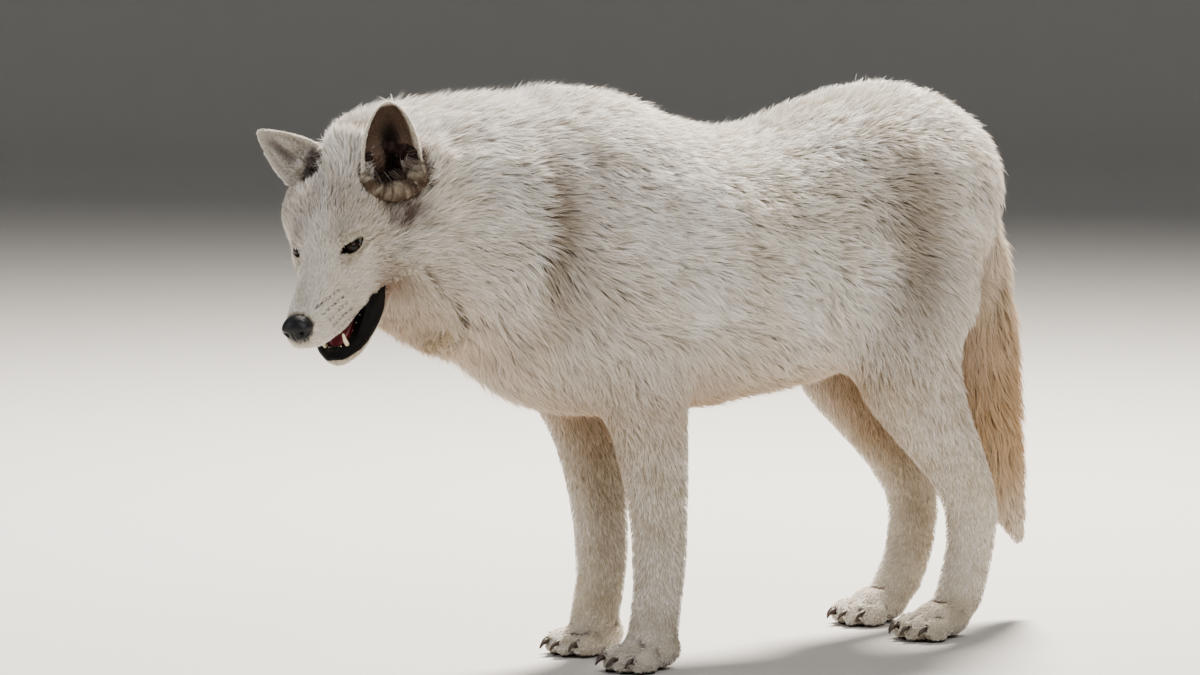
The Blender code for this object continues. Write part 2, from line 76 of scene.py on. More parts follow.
def addNode(tree, kind, inputs=None, **settings):
    node = tree.nodes.new(kind)
    for name, value in settings.items():
        setattr(node, name, value)
    feed(tree, node, inputs or {})
    return node


def newMaterial(name):
    made = bpy.data.materials.new(name)
    made.use_nodes = True
    return made, made.node_tree, made.node_tree.nodes["Principled BSDF"]


def unit(vectors):
    vectors = np.asarray(vectors, float)
    return vectors / np.maximum(np.linalg.norm(vectors, axis=-1, keepdims=True), 1e-12)


def ease(value, low, high):
    t = np.clip((value - low) / (high - low), 0, 1)
    return t * t * (3 - 2 * t)


def meshFrom(name, points, faces):
    # A mesh from arrays of points and of equally long faces
    mesh = bpy.data.meshes.new(name)
    faces = np.asarray(faces, np.int32)
    mesh.vertices.add(len(points))
    mesh.vertices.foreach_set("co", np.asarray(points, np.float32).ravel())
    mesh.loops.add(faces.size)
    mesh.loops.foreach_set("vertex_index", faces.ravel())
    mesh.polygons.add(len(faces))
    mesh.polygons.foreach_set("loop_start", np.arange(0, faces.size, faces.shape[1], dtype=np.int32))
    mesh.update(calc_edges=True)
    return mesh


def setPoints(mesh, points):
    mesh.vertices.foreach_set("co", np.asarray(points, np.float32).ravel())
    mesh.update()


def pointsOf(mesh):
    flat = np.empty(len(mesh.vertices) * 3, np.float32)
    mesh.vertices.foreach_get("co", flat)
    return flat.reshape(-1, 3).astype(float)


def trianglesOf(mesh):
    mesh.calc_loop_triangles()
    flat = np.empty(len(mesh.loop_triangles) * 3, np.int32)
    mesh.loop_triangles.foreach_get("vertices", flat)
    return flat.reshape(-1, 3)


def normalsOf(points, triangles):
    across = np.cross(points[triangles[:, 1]] - points[triangles[:, 0]],
                      points[triangles[:, 2]] - points[triangles[:, 0]])
    total = np.zeros_like(points)
    for corner in range(3):
        for axis in range(3):
            total[:, axis] += np.bincount(triangles[:, corner], across[:, axis], len(points))
    return unit(total)


def edgesOf(triangles):
    pairs = np.concatenate([triangles[:, [0, 1]], triangles[:, [1, 2]], triangles[:, [2, 0]]])
    return np.unique(np.sort(pairs, axis=1), axis=0)


def spread(values, edges, share, times):
    # Evens values out over the surface, each point moving by share towards its neighbours' mean
    values = np.array(values, float)
    flat = values.reshape(len(values), -1)
    ones = np.ones(len(edges))
    near = np.bincount(edges[:, 0], ones, len(flat)) + np.bincount(edges[:, 1], ones, len(flat))
    near = np.maximum(near, 1)
    share = np.broadcast_to(share, len(flat))
    for _ in range(times):
        for k in range(flat.shape[1]):
            total = np.bincount(edges[:, 0], flat[edges[:, 1], k], len(flat))
            total += np.bincount(edges[:, 1], flat[edges[:, 0], k], len(flat))
            flat[:, k] += share * (total / near - flat[:, k])
    return flat.reshape(values.shape)


def waves(points, size, seed):
    # Soft uneven waves between about -1 and 1, size apart, from a few crossed sines
    rng = np.random.default_rng(seed)
    total = np.zeros(len(points))
    for _ in range(7):
        way = unit(rng.normal(size=3)) * 2 * math.pi / (size * rng.uniform(0.7, 1.5))
        total += np.sin(points @ way + rng.uniform(0, 6.3) + 1.4 * np.sin(points @ way[::-1] * 0.7))
    return total / 2.6


def cleaned(mesh, apart, joined=False, outwards=True):
    # Merges points that lie together; joins triangles to quads and turns the faces out where asked
    fix = bmesh.new()
    fix.from_mesh(mesh)
    bmesh.ops.remove_doubles(fix, verts=fix.verts, dist=apart)
    if joined:
        bmesh.ops.join_triangles(fix, faces=fix.faces, angle_face_threshold=0.6, angle_shape_threshold=1.2)
    if outwards:
        bmesh.ops.recalc_face_normals(fix, faces=fix.faces)
    fix.to_mesh(mesh)
    fix.free()


def writeColours(mesh, colours, layer="coatColour"):
    rows = np.ones((len(colours), 4), np.float32)
    rows[:, :3] = colours
    mesh.color_attributes.new(layer, "FLOAT_COLOR", "POINT").data.foreach_set("color", rows.ravel())


def mixed(low, high, share):
    # Between two hex colours, by each point's share of the second
    return linear(low) + (linear(high) - linear(low)) * share[:, None]


def newObject(name, mesh, material=None):
    made = bpy.data.objects.new(name, mesh)
    bpy.context.scene.collection.objects.link(made)
    if material:
        mesh.materials.clear()
        mesh.materials.append(material)
    return made


def settled(piece):
    # Replaces a piece's mesh by what its modifiers make of it
    made = bpy.data.meshes.new_from_object(piece.evaluated_get(bpy.context.evaluated_depsgraph_get()))
    piece.modifiers.clear()
    piece.data = made
    return piece


def finishPiece(piece, slot, *nodes):
    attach(piece, "root")
    if nodes:
        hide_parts(*nodes)
    return piece


def gathered(nodes, size=1.0):
    # The nodes' points, drawn in towards their rear by size, their triangles and each one's node
    points, triangles, owner = [], [], []
    count = 0
    for number, name in enumerate(nodes):
        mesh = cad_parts[name].data
        own = pointsOf(mesh)
        if size != 1:
            rear = own[own[:, 1] > own[:, 1].max() - 0.003].mean(0)
            own = rear + (own - rear) * size
        points.append(own)
        triangles.append(trianglesOf(mesh) + count)
        owner.append(np.full(len(triangles[-1]), number))
        count += len(own)
    return np.concatenate(points), np.concatenate(triangles), np.concatenate(owner)


# Frames of the head and the jaw, from the eyes and the nose
headLook = {
    "noseAhead": 0.136, "noseBelow": 0.036,   # nose from the eyes' middle
    "jawHinge": (-0.040, 0, -0.055), "jawOpen": 17, "jawSlack": 2,
}


def makeHeadFrame():
    # +X to the nose along the brow's level, +Y to the wolf's left, from midway between the eyes
    left, right = boxCentre("eye_left"), boxCentre("eye_right")
    middle = 0.5 * (left + right)
    across = (left - right).normalized()
    ahead = boxCentre("nose") - middle
    ahead = (ahead - across * ahead.dot(across)).normalized()
    tilt = math.atan2(headLook["noseBelow"], headLook["noseAhead"])
    ahead = Matrix.Rotation(-tilt, 3, across) @ ahead
    turn = Matrix((ahead, across, ahead.cross(across))).transposed()
    return Matrix.Translation(middle) @ turn.to_4x4()


head = makeHeadFrame()
jaw = (head @ Matrix.Translation(headLook["jawHinge"])
       @ Matrix.Rotation(math.radians(headLook["jawSlack"]), 4, "Z")
       @ Matrix.Rotation(math.radians(headLook["jawOpen"]), 4, "Y"))
headBack = np.array(head.inverted())


def inHead(points):
    return points @ headBack[:3, :3].T + headBack[:3, 3]


def headDirection(vector):
    return np.array(head.to_3x3() @ Vector(vector))


def inJaw(points):
    return (points - np.array(jaw.translation)) @ np.array(jaw.to_3x3())


# The body's outline: one soft surface over every node of flesh
legNodes = [f"leg_{end}_{side}" for end in ends for side in sides]
pawNodes = [f"paw_{end}_{side}" for end in ends for side in sides]
bodyNodes = ["head", "lower_jaw", "neck", "trunk", "tail", *legNodes, *pawNodes]
earNodes = ["ear_left", "ear_right"]
fleshNodes = bodyNodes + earNodes
skinLook = {
    "voxel": 2.5 * mm, "quickVoxel": 4 * mm,
    "softening": 12, "fineSoftening": 3,
    "triangles": 150000,
    "fineNodes": ("head", "lower_jaw", *pawNodes), "pawsBelow": 0.3,
    "softChin": (0.070, -0.036),      # ahead of and below this, in the jaw's frame, the chin is softened
    "fineHead": (-0.038, 0.020),     # behind and below this, in the head's frame, the head is softened too
}


def nearestOwner(points, tree, owner):
    return np.array([owner[tree.find_nearest(p)[2]] for p in points])


def makeOutline():
    points, triangles, owner = gathered(bodyNodes)
    tree = BVHTree.FromPolygons(points.tolist(), triangles.tolist())
    made = newObject("outline", meshFrom("outline", points, triangles))
    cleaned(made.data, 1e-5, outwards=False)
    remesh = made.modifiers.new("fuse", "REMESH")
    remesh.mode = "VOXEL"
    remesh.voxel_size = skinLook["voxel"]
    settled(made)
    points, triangles = pointsOf(made.data), trianglesOf(made.data)
    fine = np.isin(nearestOwner(points, tree, owner), [bodyNodes.index(n) for n in skinLook["fineNodes"]])
    paws = points[:, 2] < skinLook["pawsBelow"]
    (back, low), (ahead, chin) = skinLook["fineHead"], skinLook["softChin"]
    place = inHead(points)
    fine &= (place[:, 0] > back) | (place[:, 2] > low) | paws
    place = inJaw(points)
    fine &= (place[:, 0] < ahead) | (place[:, 2] > chin) | paws
    edges = edgesOf(triangles)
    points = spread(points, edges, 0.5, skinLook["fineSoftening"])
    coarse = spread(1.0 - fine, edges, 0.5, 6)
    points = spread(points, edges, 0.5 * coarse, skinLook["softening"])
    setPoints(made.data, points)
    group = made.vertex_groups.new(name="coarse")
    for level in range(1, 11):
        members = np.flatnonzero(np.ceil(coarse * 10) == level)
        group.add(members.tolist(), level / 10, "REPLACE")
    reduce = made.modifiers.new("reduce", "DECIMATE")
    reduce.ratio = min(1.0, skinLook["triangles"] / len(triangles))
    reduce.vertex_group = "coarse"
    settled(made)
    points, triangles = pointsOf(made.data), trianglesOf(made.data)
    part = nearestOwner(points, tree, owner)
    bpy.data.objects.remove(made)
    return points, triangles, part


outer, skinTriangles, skinPart = makeOutline()
skinEdges = edgesOf(skinTriangles)
print("outline:", len(outer), "points", len(skinTriangles), "triangles")


# The lie, depth and length of the coat over the outline
partOf = {name: number for number, name in enumerate(fleshNodes)}
outerNormals = normalsOf(outer, skinTriangles)
outerInHead = inHead(outer)
outerInJaw = inJaw(outer)


def isPart(*names):
    return np.isin(skinPart, [partOf[name] for name in names])


coatRun = {
    # places and the values there: along the body for the trunk, by height for legs and tail, and along
    # the head; deep is how far the hair stands off the skin, long its length as a share of that
    "trunkFall": ((-0.34, -0.20, 0.10, 0.40, 0.56), (1.6, 0.7, 0.35, 0.8, 3.5)),
    "trunkDeep": ((-0.34, -0.17, 0.10, 0.40, 0.56), (0.030, 0.028, 0.024, 0.024, 0.024)),
    "legBack": ((0.05, 0.15, 0.30, 0.45), (0.0, 0.05, 0.18, 0.45)),
    "legDeep": ((0.05, 0.10, 0.20, 0.32, 0.42, 0.50), (0.0035, 0.004, 0.005, 0.009, 0.018, 0.024)),
    "legLong": ((0.10, 0.30, 0.45), (2.6, 2.2, 1.6)),
    "tailDeep": ((0.10, 0.14, 0.20, 0.28, 0.40, 0.56), (0.003, 0.010, 0.020, 0.030, 0.032, 0.026)),
    "headDeep": ((-0.20, -0.13, -0.08, -0.04, 0.0, 0.04, 0.12),
                 (0.030, 0.026, 0.017, 0.010, 0.006, 0.0045, 0.003)),
    "headLong": ((-0.15, 0.0, 0.1), (1.6, 2.0, 2.3)),
    "jawDeep": ((-0.05, 0.0, 0.1), (0.008, 0.005, 0.0035)),
    "neckDeep": 0.031, "pawDeep": 0.003, "bellyDeeper": 0.006,
    "trunkLong": 1.55, "bellyLonger": 0.5, "tailLong": 2.3, "pawLong": 2.4, "jawLong": 2.4,
}


def coatFields():
    # Where the hair points, how far it stands off the skin and how long it is, at every point
    x, y, z = outer.T
    hx, hy, hz = outerInHead.T
    side = np.sign(x)
    lie = np.zeros_like(outer)
    depth = np.zeros(len(outer))
    longer = np.full(len(outer), 1.9)

    def run(name, places):
        return np.interp(places, *coatRun[name])

    def put(mask, direction, deep, factor):
        rows = np.broadcast_to(np.stack(np.broadcast_arrays(*direction), -1), (len(outer), 3))
        lie[mask] = unit(rows)[mask]
        depth[mask] = np.broadcast_to(deep, len(outer))[mask]
        longer[mask] = np.broadcast_to(factor, len(outer))[mask]

    low = ease(-z, -0.62, -0.38)          # 1 at the belly
    fall = -run("trunkFall", y) * (0.25 + 0.75 * ease(-z, -0.78, -0.60)) + 0.10 * low
    put(isPart("trunk"), (0.10 * side * (1 - low), 1, fall),
        run("trunkDeep", y) + coatRun["bellyDeeper"] * low,
        coatRun["trunkLong"] + coatRun["bellyLonger"] * low)
    put(isPart("neck"), (0.1 * side, 1, -0.25 - 1.1 * ease(-z, -0.66, -0.46)),
        coatRun["neckDeep"], coatRun["trunkLong"])
    put(isPart(*legNodes), (0.05 * side, run("legBack", z), -1), run("legDeep", z), run("legLong", z))
    put(isPart(*pawNodes), (0, -0.8, -0.5), coatRun["pawDeep"], coatRun["pawLong"])
    put(isPart("tail"), (-0.05, 0.30, -1), run("tailDeep", z), coatRun["tailLong"])

    outward = np.sign(hy) * ease(abs(hy), 0.004, 0.050)
    under = ease(-hz, 0.0, 0.070)
    back = ease(-hx, 0.02, 0.12)
    turn = np.array(head.to_3x3())
    direction = np.stack([-np.ones_like(hx), outward * (0.18 + 0.35 * back),
                          0.25 - under * (0.5 + 0.5 * back)], -1) @ turn.T
    headDeep = run("headDeep", hx) * (1 + 0.5 * under * back)
    put(isPart("head"), direction.T, headDeep, run("headLong", hx))
    direction = np.stack([-np.ones_like(hx), 0.1 * outward, -0.35 + 0 * hx], -1) @ turn.T
    put(isPart("lower_jaw"), direction.T, run("jawDeep", hx), coatRun["jawLong"])
    return lie, depth, longer


def tangent(vectors, normals):
    return unit(vectors - normals * (vectors * normals).sum(-1, keepdims=True))


def roomInside():
    # How thick the body is behind each point of the outline
    tree = BVHTree.FromPolygons(outer.tolist(), skinTriangles.tolist())
    found = [tree.ray_cast(p - n * 0.001, -n, 0.2)[3]
             for p, n in zip(map(Vector, outer), map(Vector, outerNormals))]
    return np.array([0.2 if distance is None else distance for distance in found])


earLook = {
    # dark: share of brown inside each ear, partly painted shade; the left ear's inside gets more than the
    # right's
    "left": {"start": (-0.077, 0.0715, 0.011), "axis": (-0.13, 0.17, 0.98), "opening": (0.76, 0.58, -0.08),
             "length": 0.143, "halfWidth": 44 * mm, "slim": 0.40, "power": 2.4, "dark": 1.25},
    "right": {"start": (-0.107, -0.055, 0.062), "axis": (-0.37, -0.80, 0.47), "opening": (0.74, 0.15, 0.66),
              "length": 0.084, "halfWidth": 40 * mm, "slim": 0.78, "power": 1, "dark": 0.35},
    "cup": 0.62, "coat": 1.6 * mm, "wall": 3.0 * mm, "rows": 104, "around": 48,
    "lobes": (                # across from the head's side, along, reach across, reach along, height
        (0.40, 0.43, 0.26, 0.14, 0.016), (-0.58, 0.38, 0.24, 0.22, 0.012), (-0.10, 0.08, 0.60, 0.14, 0.012)),
    "wrinkle": 1.1 * mm, "skullBack": 15 * mm,     # how far the head's skin stays back behind the ear
    "clearing": (26 * mm, 44 * mm),     # round the ear's mouth the head's hair is short
}


def earAxes(side):
    # Where an ear starts, which way it points, the way it opens and the way across
    ear = earLook[side]
    axis = unit(headDirection(ear["axis"]))
    opening = headDirection(ear["opening"])
    opening = unit(opening - axis * axis.dot(opening))
    return np.array(head @ Vector(ear["start"])), axis, opening, np.cross(axis, opening)


def earCloseness(points):
    # 1 in front of the ears' mouths, falling to 0 a little way off; and the distance
    close, nearest = np.zeros(len(points)), np.ones(len(points))
    for side in sides:
        start, axis, opening, _ = earAxes(side)
        along = np.clip((points - start) @ axis, -0.01, 0.45 * earLook[side]["length"])
        away = points - start - along[:, None] * axis - 0.010 * opening
        distance = np.linalg.norm(away, axis=1)
        here = (1 - ease(distance, *earLook["clearing"])) * (away @ opening > -0.02)
        close, nearest = np.maximum(close, here), np.minimum(nearest, distance)
    return close, nearest


def insideEar(points):
    # 1 within the hollow of an ear, where the head's own skin stays back behind the ear's lining
    share = np.zeros(len(points))
    for side in sides:
        start, axis, opening, across = earAxes(side)
        ahead, wide, along = np.stack([opening, across, axis]) @ (points - start).T
        half = 0.9 * earLook[side]["halfWidth"]
        within = 1 - np.hypot(wide / half, ahead / (earLook["cup"] * half))
        here = ease(-ahead, -0.004, 0.004) * ease(within, 0, 0.12) * ease(along, 0.026, 0.040)
        share = np.maximum(share, here * (along < 0.9 * earLook[side]["length"]))
    return share


lie, depth, longer = coatFields()
lie = tangent(spread(lie, skinEdges, 0.5, 40), outerNormals)
earClose, earDistance = earCloseness(outer)
earClose = earClose * isPart("head")
room = roomInside()
depth = spread(np.minimum(depth * (1 + 0.4 * earClose), 0.34 * room), skinEdges, 0.5, 40)
depth = np.minimum(depth, 0.40 * room)
cupped = insideEar(outer) * isPart("head")
depth = np.maximum(depth, earLook["skullBack"] * cupped)
longer = spread(longer, skinEdges, 0.5, 30)
lift = 1 - 0.72 * earClose          # how much of the coat's depth the hair stands up through


mouthLook = {
    # along the jaw, how far below its frame the bare lower lip reaches
    "lipFoot": ((0.010, -0.018), (0.028, -0.022), (0.036, -0.030), (0.047, -0.037), (0.080, -0.040),
                (0.099, -0.038), (0.115, -0.036), (0.132, -0.032), (0.140, -0.028)),
    # along the head, how far below the eyes the upper lip's hair ends
    "lipEdge": ((-0.013, -0.068), (-0.006, -0.065), (0.004, -0.069), (0.016, -0.072), (0.026, -0.078),
                (0.037, -0.082), (0.053, -0.086), (0.087, -0.081), (0.115, -0.073)),
    # throat: painted shade, near black, deep in the mouth
    "lip": "#0b0909", "inside": "#4a1219", "throat": "#0a0405", "pad": "#2b2522",
}
bare = np.zeros(len(outer))


def markBareSkin():
    # Lips, the inside of the mouth and the pads under the toes carry no hair
    hx, hy, hz = outerInHead.T
    normal = outerNormals @ np.array(head.to_3x3())
    mouth = isPart("head") & (hx > -0.040) & (hx < 0.126) & (abs(hy) < 0.046) & (hz < -0.052)
    inwards = ease(-normal[:, 1] * np.sign(hy), -0.35, -0.05) * ease(-normal[:, 2], -0.3, 0.1)
    edge = np.interp(hx, *zip(*mouthLook["lipEdge"]))
    bare[mouth] = np.maximum(inwards, ease(edge - hz, 0.0, 0.003))[mouth]
    jx, _, jz = outerInJaw.T
    normal = outerNormals @ np.array(jaw.to_3x3())
    lip = np.interp(jx, *zip(*mouthLook["lipFoot"]))
    top = np.maximum(ease(normal[:, 2], 0.35, 0.75), ease(jz, lip, lip + 0.002)) * ease(jx, 0.006, 0.014)
    bare[isPart("lower_jaw")] = top[isPart("lower_jaw")]
    pads = isPart(*pawNodes) & (outer[:, 2] < 0.004) & (outerNormals[:, 2] < -0.5)
    bare[pads] = 1
    bare[cupped > 0.5] = 1


markBareSkin()
depth = depth * (1 - spread(bare * (cupped < 0.5), skinEdges, 0.5, 2))


def makeSkinPoints():
    # Moves the outline in by the coat's depth, in small steps with the surface kept even
    steps = 8
    points = outer.copy()
    for _ in range(steps):
        points = points - normalsOf(points, skinTriangles) * (depth / steps)[:, None]
        points = spread(points, skinEdges, 0.25 * ease(depth, 0.006, 0.015), 1)
    return points


skinPoints = makeSkinPoints()
wrinkles = np.sin(earDistance * 2 * math.pi / 0.0058 + 1.5 * waves(outer, 0.018, 8))
skinPoints += outerNormals * (1.0 * mm * earClose * wrinkles)[:, None]
hollow = ((spread(outer, skinEdges, 0.5, 6) - outer) * outerNormals).sum(1)
shade = 0.90 * ease(hollow, 0.0001, 0.0008) * isPart(*pawNodes)     # painted shade between the toes, where the surface is hollow
# grey-brown before the ears' mouths, with painted shade in the troughs of the folds
shade = np.maximum(shade, earClose * (0.36 - 0.14 * wrinkles))
print("skin set in from the outline")


def addToSkin(outline, surface, triangles, node, hairLie, hairDepth, hairLonger, bareShare, dark=0.0):
    # Joins a finely made part, such as a lid or an ear, to the skin's arrays
    global outer, skinPoints, skinTriangles, skinPart, lie, depth, longer, bare, shade, lift
    skinTriangles = np.concatenate([skinTriangles, triangles + len(outer)])
    outer = np.concatenate([outer, outline])
    skinPoints = np.concatenate([skinPoints, surface])
    skinPart = np.concatenate([skinPart, np.full(len(outline), partOf[node])])
    lie = np.concatenate([lie, hairLie])
    depth = np.concatenate([depth, hairDepth])
    longer = np.concatenate([longer, np.broadcast_to(hairLonger, len(outline))])
    bare = np.concatenate([bare, bareShare])
    shade = np.concatenate([shade, np.broadcast_to(dark, len(outline))])
    lift = np.concatenate([lift, np.ones(len(outline))])


def gridTriangles(rows, columns):
    # Triangles of a grid of points, row by row, which closes on itself along each row
    made = []
    for i in range(rows - 1):
        for k in range(columns):
            a, b = i * columns + k, i * columns + (k + 1) % columns
            c, d = a + columns, b + columns
            made += [(a, b, d), (a, d, c)]
    return np.array(made)


# Eyes: a ball with a domed cornea, and lids that close on it in a slanted almond
eyeLook = {
    "radius": 12.5 * mm,
    "slit": (-0.685, 0.711, 0.158), "facing": (0.700, 0.690, 0.120),   # left eye, in the head's frame
    "innerCorner": 18.5 * mm, "outerCorner": 16.0 * mm, "upper": 6.6 * mm, "lower": 4.8 * mm,
    "raised": 1.8 * mm,
    "lidReach": (28 * mm, 20 * mm), "lidRows": 26, "lidColumns": 72, "rim": (0.12, 0.20),
    "iris": 7.0 * mm, "pupil": 3.2 * mm, "dome": 1.2 * mm,
    "pale": "#301c0d", "dark": "#140b06", "edge": "#080504", "white": "#0e0a08",
    "roughness": 0.25, "ior": 1.38, "specular": 0.15, "wet": 0.22, "wetRoughness": 0.03,
    "ballRings": 56, "ballAround": 72,
}


def eyeFrame(side):
    # X along the slit to the outer corner, Y up, Z the way the eye faces
    flip = np.array([1, sides[side], 1])
    along = unit(headDirection(np.array(eyeLook["slit"]) * flip))
    facing = headDirection(np.array(eyeLook["facing"]) * flip)
    facing = unit(facing - along * facing.dot(along))
    up = np.cross(facing, along) * sides[side]
    return np.array(boxCentre(f"eye_{side}")), np.stack([along, up, facing])


def almond(angle):
    # The lids' edge seen from the front: pointed corners, the inner one longer and lower
    c, s = np.cos(angle), np.sin(angle)
    u = np.where(c > 0, eyeLook["outerCorner"], eyeLook["innerCorner"]) * c
    lift = np.where(s > 0, eyeLook["upper"], eyeLook["lower"]) * s * abs(s) ** 0.35
    drop = -1.2 * mm * ease(-c, 0.55, 1.0)
    return u, lift + drop + eyeLook["raised"]


def onBall(u, v, radius):
    # How far ahead of the eye's centre the lids' edge lies, flatter towards the corners
    room = radius ** 2 - u ** 2 - v ** 2
    floor = (0.46 * radius) ** 2
    return np.sqrt(np.where(room > floor, room, floor * np.exp((room - floor) / (4 * floor))))


def makeLids(side):
    # Drops the skin over the eye's opening and puts the lids there
    global skinTriangles
    centre, axes = eyeFrame(side)
    inEye = (outer - centre) @ axes.T
    reachU, reachV = eyeLook["lidReach"]
    inside = ((inEye[:, 0] / reachU) ** 2 + (inEye[:, 1] / reachV) ** 2 < 0.80) & (inEye[:, 2] > -0.017)
    inside &= np.linalg.norm(inEye, axis=1) < 0.040
    outlineTree = BVHTree.FromPolygons(outer.tolist(), skinTriangles.tolist())
    surfaceTree = BVHTree.FromPolygons(skinPoints.tolist(), skinTriangles.tolist())
    skinTriangles = skinTriangles[~inside[skinTriangles].any(1)]
    rows, columns = eyeLook["lidRows"], eyeLook["lidColumns"]
    angle = np.linspace(0, 2 * math.pi, columns, endpoint=False)
    u, v = almond(angle)
    w = onBall(u, v, eyeLook["radius"] + 0.9 * mm)
    edge = centre + np.stack([u, v, w], -1) @ axes
    ringU, ringV = reachU * np.cos(angle), reachV * np.sin(angle)
    rim, rimOut = [], []
    for a, b in zip(ringU, ringV):
        start = centre + np.array([a, b, 0.06]) @ axes
        place = surfaceTree.ray_cast(Vector(start), Vector(-axes[2]), 0.12)[0]
        out = outlineTree.ray_cast(Vector(start), Vector(-axes[2]), 0.12)[0]
        rim.append(np.array(place))
        rimOut.append(np.array(out))
    rim, rimOut = np.array(rim) - axes[2] * 0.5 * mm, np.array(rimOut) - axes[2] * 0.3 * mm
    surface, outline, free = [], [], []
    steps = np.linspace(-0.16, 1, rows)
    for s in steps:
        t = max(s, 0.0)
        swell = (2.4 * ease(np.sin(angle), -0.2, 1.0) + 1.0) * mm * math.sin(math.pi * min(1, t ** 0.55))
        inner = edge * (1 - t) + rim * t + axes[2] * swell[:, None]
        over = edge * (1 - t) + rimOut * t + axes[2] * (swell + 0.4 * mm)[:, None]
        if s < 0:      # the lid's edge turns in towards the ball
            inward = unit(np.stack([u, v, 0 * u], -1)) @ axes
            inner = inner - axes[2] * (-s * 22 * mm) + inward * (-s * 5 * mm)
            over = inner
        surface.append(inner)
        outline.append(over)
        free.append(np.full(columns, 1 - ease(t, *eyeLook["rim"])))
    surface, outline, free = np.concatenate(surface), np.concatenate(outline), np.concatenate(free)
    triangles = gridTriangles(rows, columns)
    if sides[side] < 0:
        triangles = triangles[:, ::-1]
    away = np.tile(np.stack([u, v, 0 * u], -1) @ axes, (rows, 1))
    back = -headDirection((1, 0, -0.12)) * 0.012
    deep = np.linalg.norm(outline - surface, axis=1)
    addToSkin(outline, surface, triangles, "head", unit(away + back), np.maximum(deep, 0.6 * mm), 3.0, free)


for side in sides:
    makeLids(side)


# Ears: a cupped shell of skin with a rolled rim and folds low inside
def makeEar(side):
    # Rows from the root to the tip; each goes round the back and returns along the inside
    ear = earLook[side]
    start, axis, opening, across = earAxes(side)
    rows, around = earLook["rows"], earLook["around"]
    t = 0.997 * np.sin(0.5 * math.pi * np.arange(rows) / (rows - 1))[:, None]
    taper = (1 - ear["slim"] * t ** ear["power"]) * (0.86 + 0.5 * t * (1 - t))
    half = ear["halfWidth"] * taper * np.sqrt(1 - t ** 8)
    angle = np.linspace(0, math.pi, around)[None, :]
    centre = start + axis * (ear["length"] * t)[..., None]
    medial = -np.sign(across @ headDirection((0, sides[side], 0)))
    u = medial * np.cos(angle)            # 1 at the edge next to the crown

    def shell(shrink, deeper):
        wide = np.maximum(half - shrink, 0.2 * half)
        deep = earLook["cup"] * half - deeper
        return (centre + across * (wide * np.cos(angle))[..., None]
                - opening * (np.maximum(deep, 0.0) * np.sin(angle))[..., None])

    lobes = np.zeros((rows, around))
    for place, along, wide, long, height in earLook["lobes"]:
        lobes += height * np.exp(-((u - place - 0.25 * (t - along)) / wide) ** 2 - ((t - along) / long) ** 2)
    crease = np.sin(88 * t + 5 * abs(u) + 2.2 * np.sin(5 * u + 11 * t)) * (1 - ease(t, 0.42, 0.58))
    crease = crease * ease(abs(u), 0.08, 0.40) * np.sin(angle) ** 0.4
    folds = np.minimum(lobes, 0.55 * earLook["cup"] * half) + earLook["wrinkle"] * crease
    inner = earLook["coat"] + earLook["wall"] + folds
    outline = np.concatenate([shell(0, 0), shell(4.0 * mm, inner + earLook["coat"])[:, ::-1]], 1)
    surface = np.concatenate([shell(earLook["coat"], earLook["coat"]), shell(3.2 * mm, inner)[:, ::-1]], 1)
    columns = 2 * around
    triangles = gridTriangles(rows, columns)
    inside = np.tile(np.arange(columns) >= around, rows)
    flatOut, flatSkin = outline.reshape(-1, 3), surface.reshape(-1, 3)
    if (normalsOf(flatSkin, triangles)[~inside] @ opening).mean() > 0:
        triangles = triangles[:, ::-1]
    # The ear's own grey-brown inside, with painted shade darker in the middle of the cup and in the creases'
    # troughs, lighter on the lobes
    middle = np.exp(-((u + 0.12 + 0.3 * (t - 0.5)) / 0.42) ** 2)
    middle = middle * ease(t, 0.10, 0.24) * (1 - ease(t, 0.55, 0.90))
    valley = 0.44 + 0.44 * middle - 26 * lobes + 0.55 * ease(-crease, 0.30, 0.90)
    valley = np.clip(valley, 0.36, 1.0) * ease(1 - abs(u), 0.03, 0.20) * ease(1 - t, 0.015, 0.09)
    dark = ear["dark"] * np.concatenate([0 * valley, valley[:, ::-1]], 1).ravel()
    lateral = np.tile(np.concatenate([np.cos(angle[0]), np.cos(angle[0])[::-1]]), rows)
    hair = unit(axis + across * (0.45 * lateral)[:, None] - opening * 0.1)
    addToSkin(flatOut, flatSkin, triangles, f"ear_{side}", hair, np.full(len(flatOut), earLook["coat"]),
              np.where(inside, 3.2, 4.6), np.zeros(len(flatOut)), dark)


for side in sides:
    makeEar(side)
skinNormals = normalsOf(skinPoints, skinTriangles)
skinInHead = inHead(skinPoints)
print("lids and ears joined to the skin")


# Markings, the same on the skin and on the coat
coatColours = {
    "white": "#fbf9f6", "cream": "#efe9dc", "sand": "#bfac8c", "amber": "#c29855",
    # The last two: the ears' grey-brown, also used for painted shade, and near-black painted shade
    "rust": "#9a5a35", "umber": "#917a5e", "ink": "#2a211c", "earBrownAndShade": "#6d5a50", "earDeepShade": "#1d1310",
}
coatColours = {name: linear(value) for name, value in coatColours.items()}
markings = (
    # where, how far it reaches, colour, how much of it; every one on both sides of the body
    ((0.13, -0.27, 0.61), (0.05, 0.020, 0.10), "umber", 0.85),   # painted shade in the parting at the shoulder
    # painted shade, wider and fainter, round the parting
    ((0.13, -0.25, 0.56), (0.05, 0.045, 0.16), "umber", 0.30),
    ((0.14, 0.33, 0.58), (0.05, 0.055, 0.13), "umber", 0.80),    # painted shade on the haunch, behind the flank's edge
    ((0.14, -0.23, 0.50), (0.05, 0.060, 0.08), "sand", 0.35),    # upper arm
    ((0.00, 0.05, 0.36), (0.14, 0.300, 0.07), "amber", 0.75),    # belly
    ((0.03, 0.42, 0.38), (0.05, 0.120, 0.20), "amber", 0.85),    # between the thighs
    ((0.00, 0.60, 0.34), (0.09, 0.080, 0.26), "amber", 0.80),    # tail
    ((0.03, -0.40, 0.46), (0.09, 0.140, 0.08), "amber", 0.55),   # throat
    ((0.03, -0.12, 0.25), (0.04, 0.100, 0.14), "amber", 0.45),   # between the forelegs
)
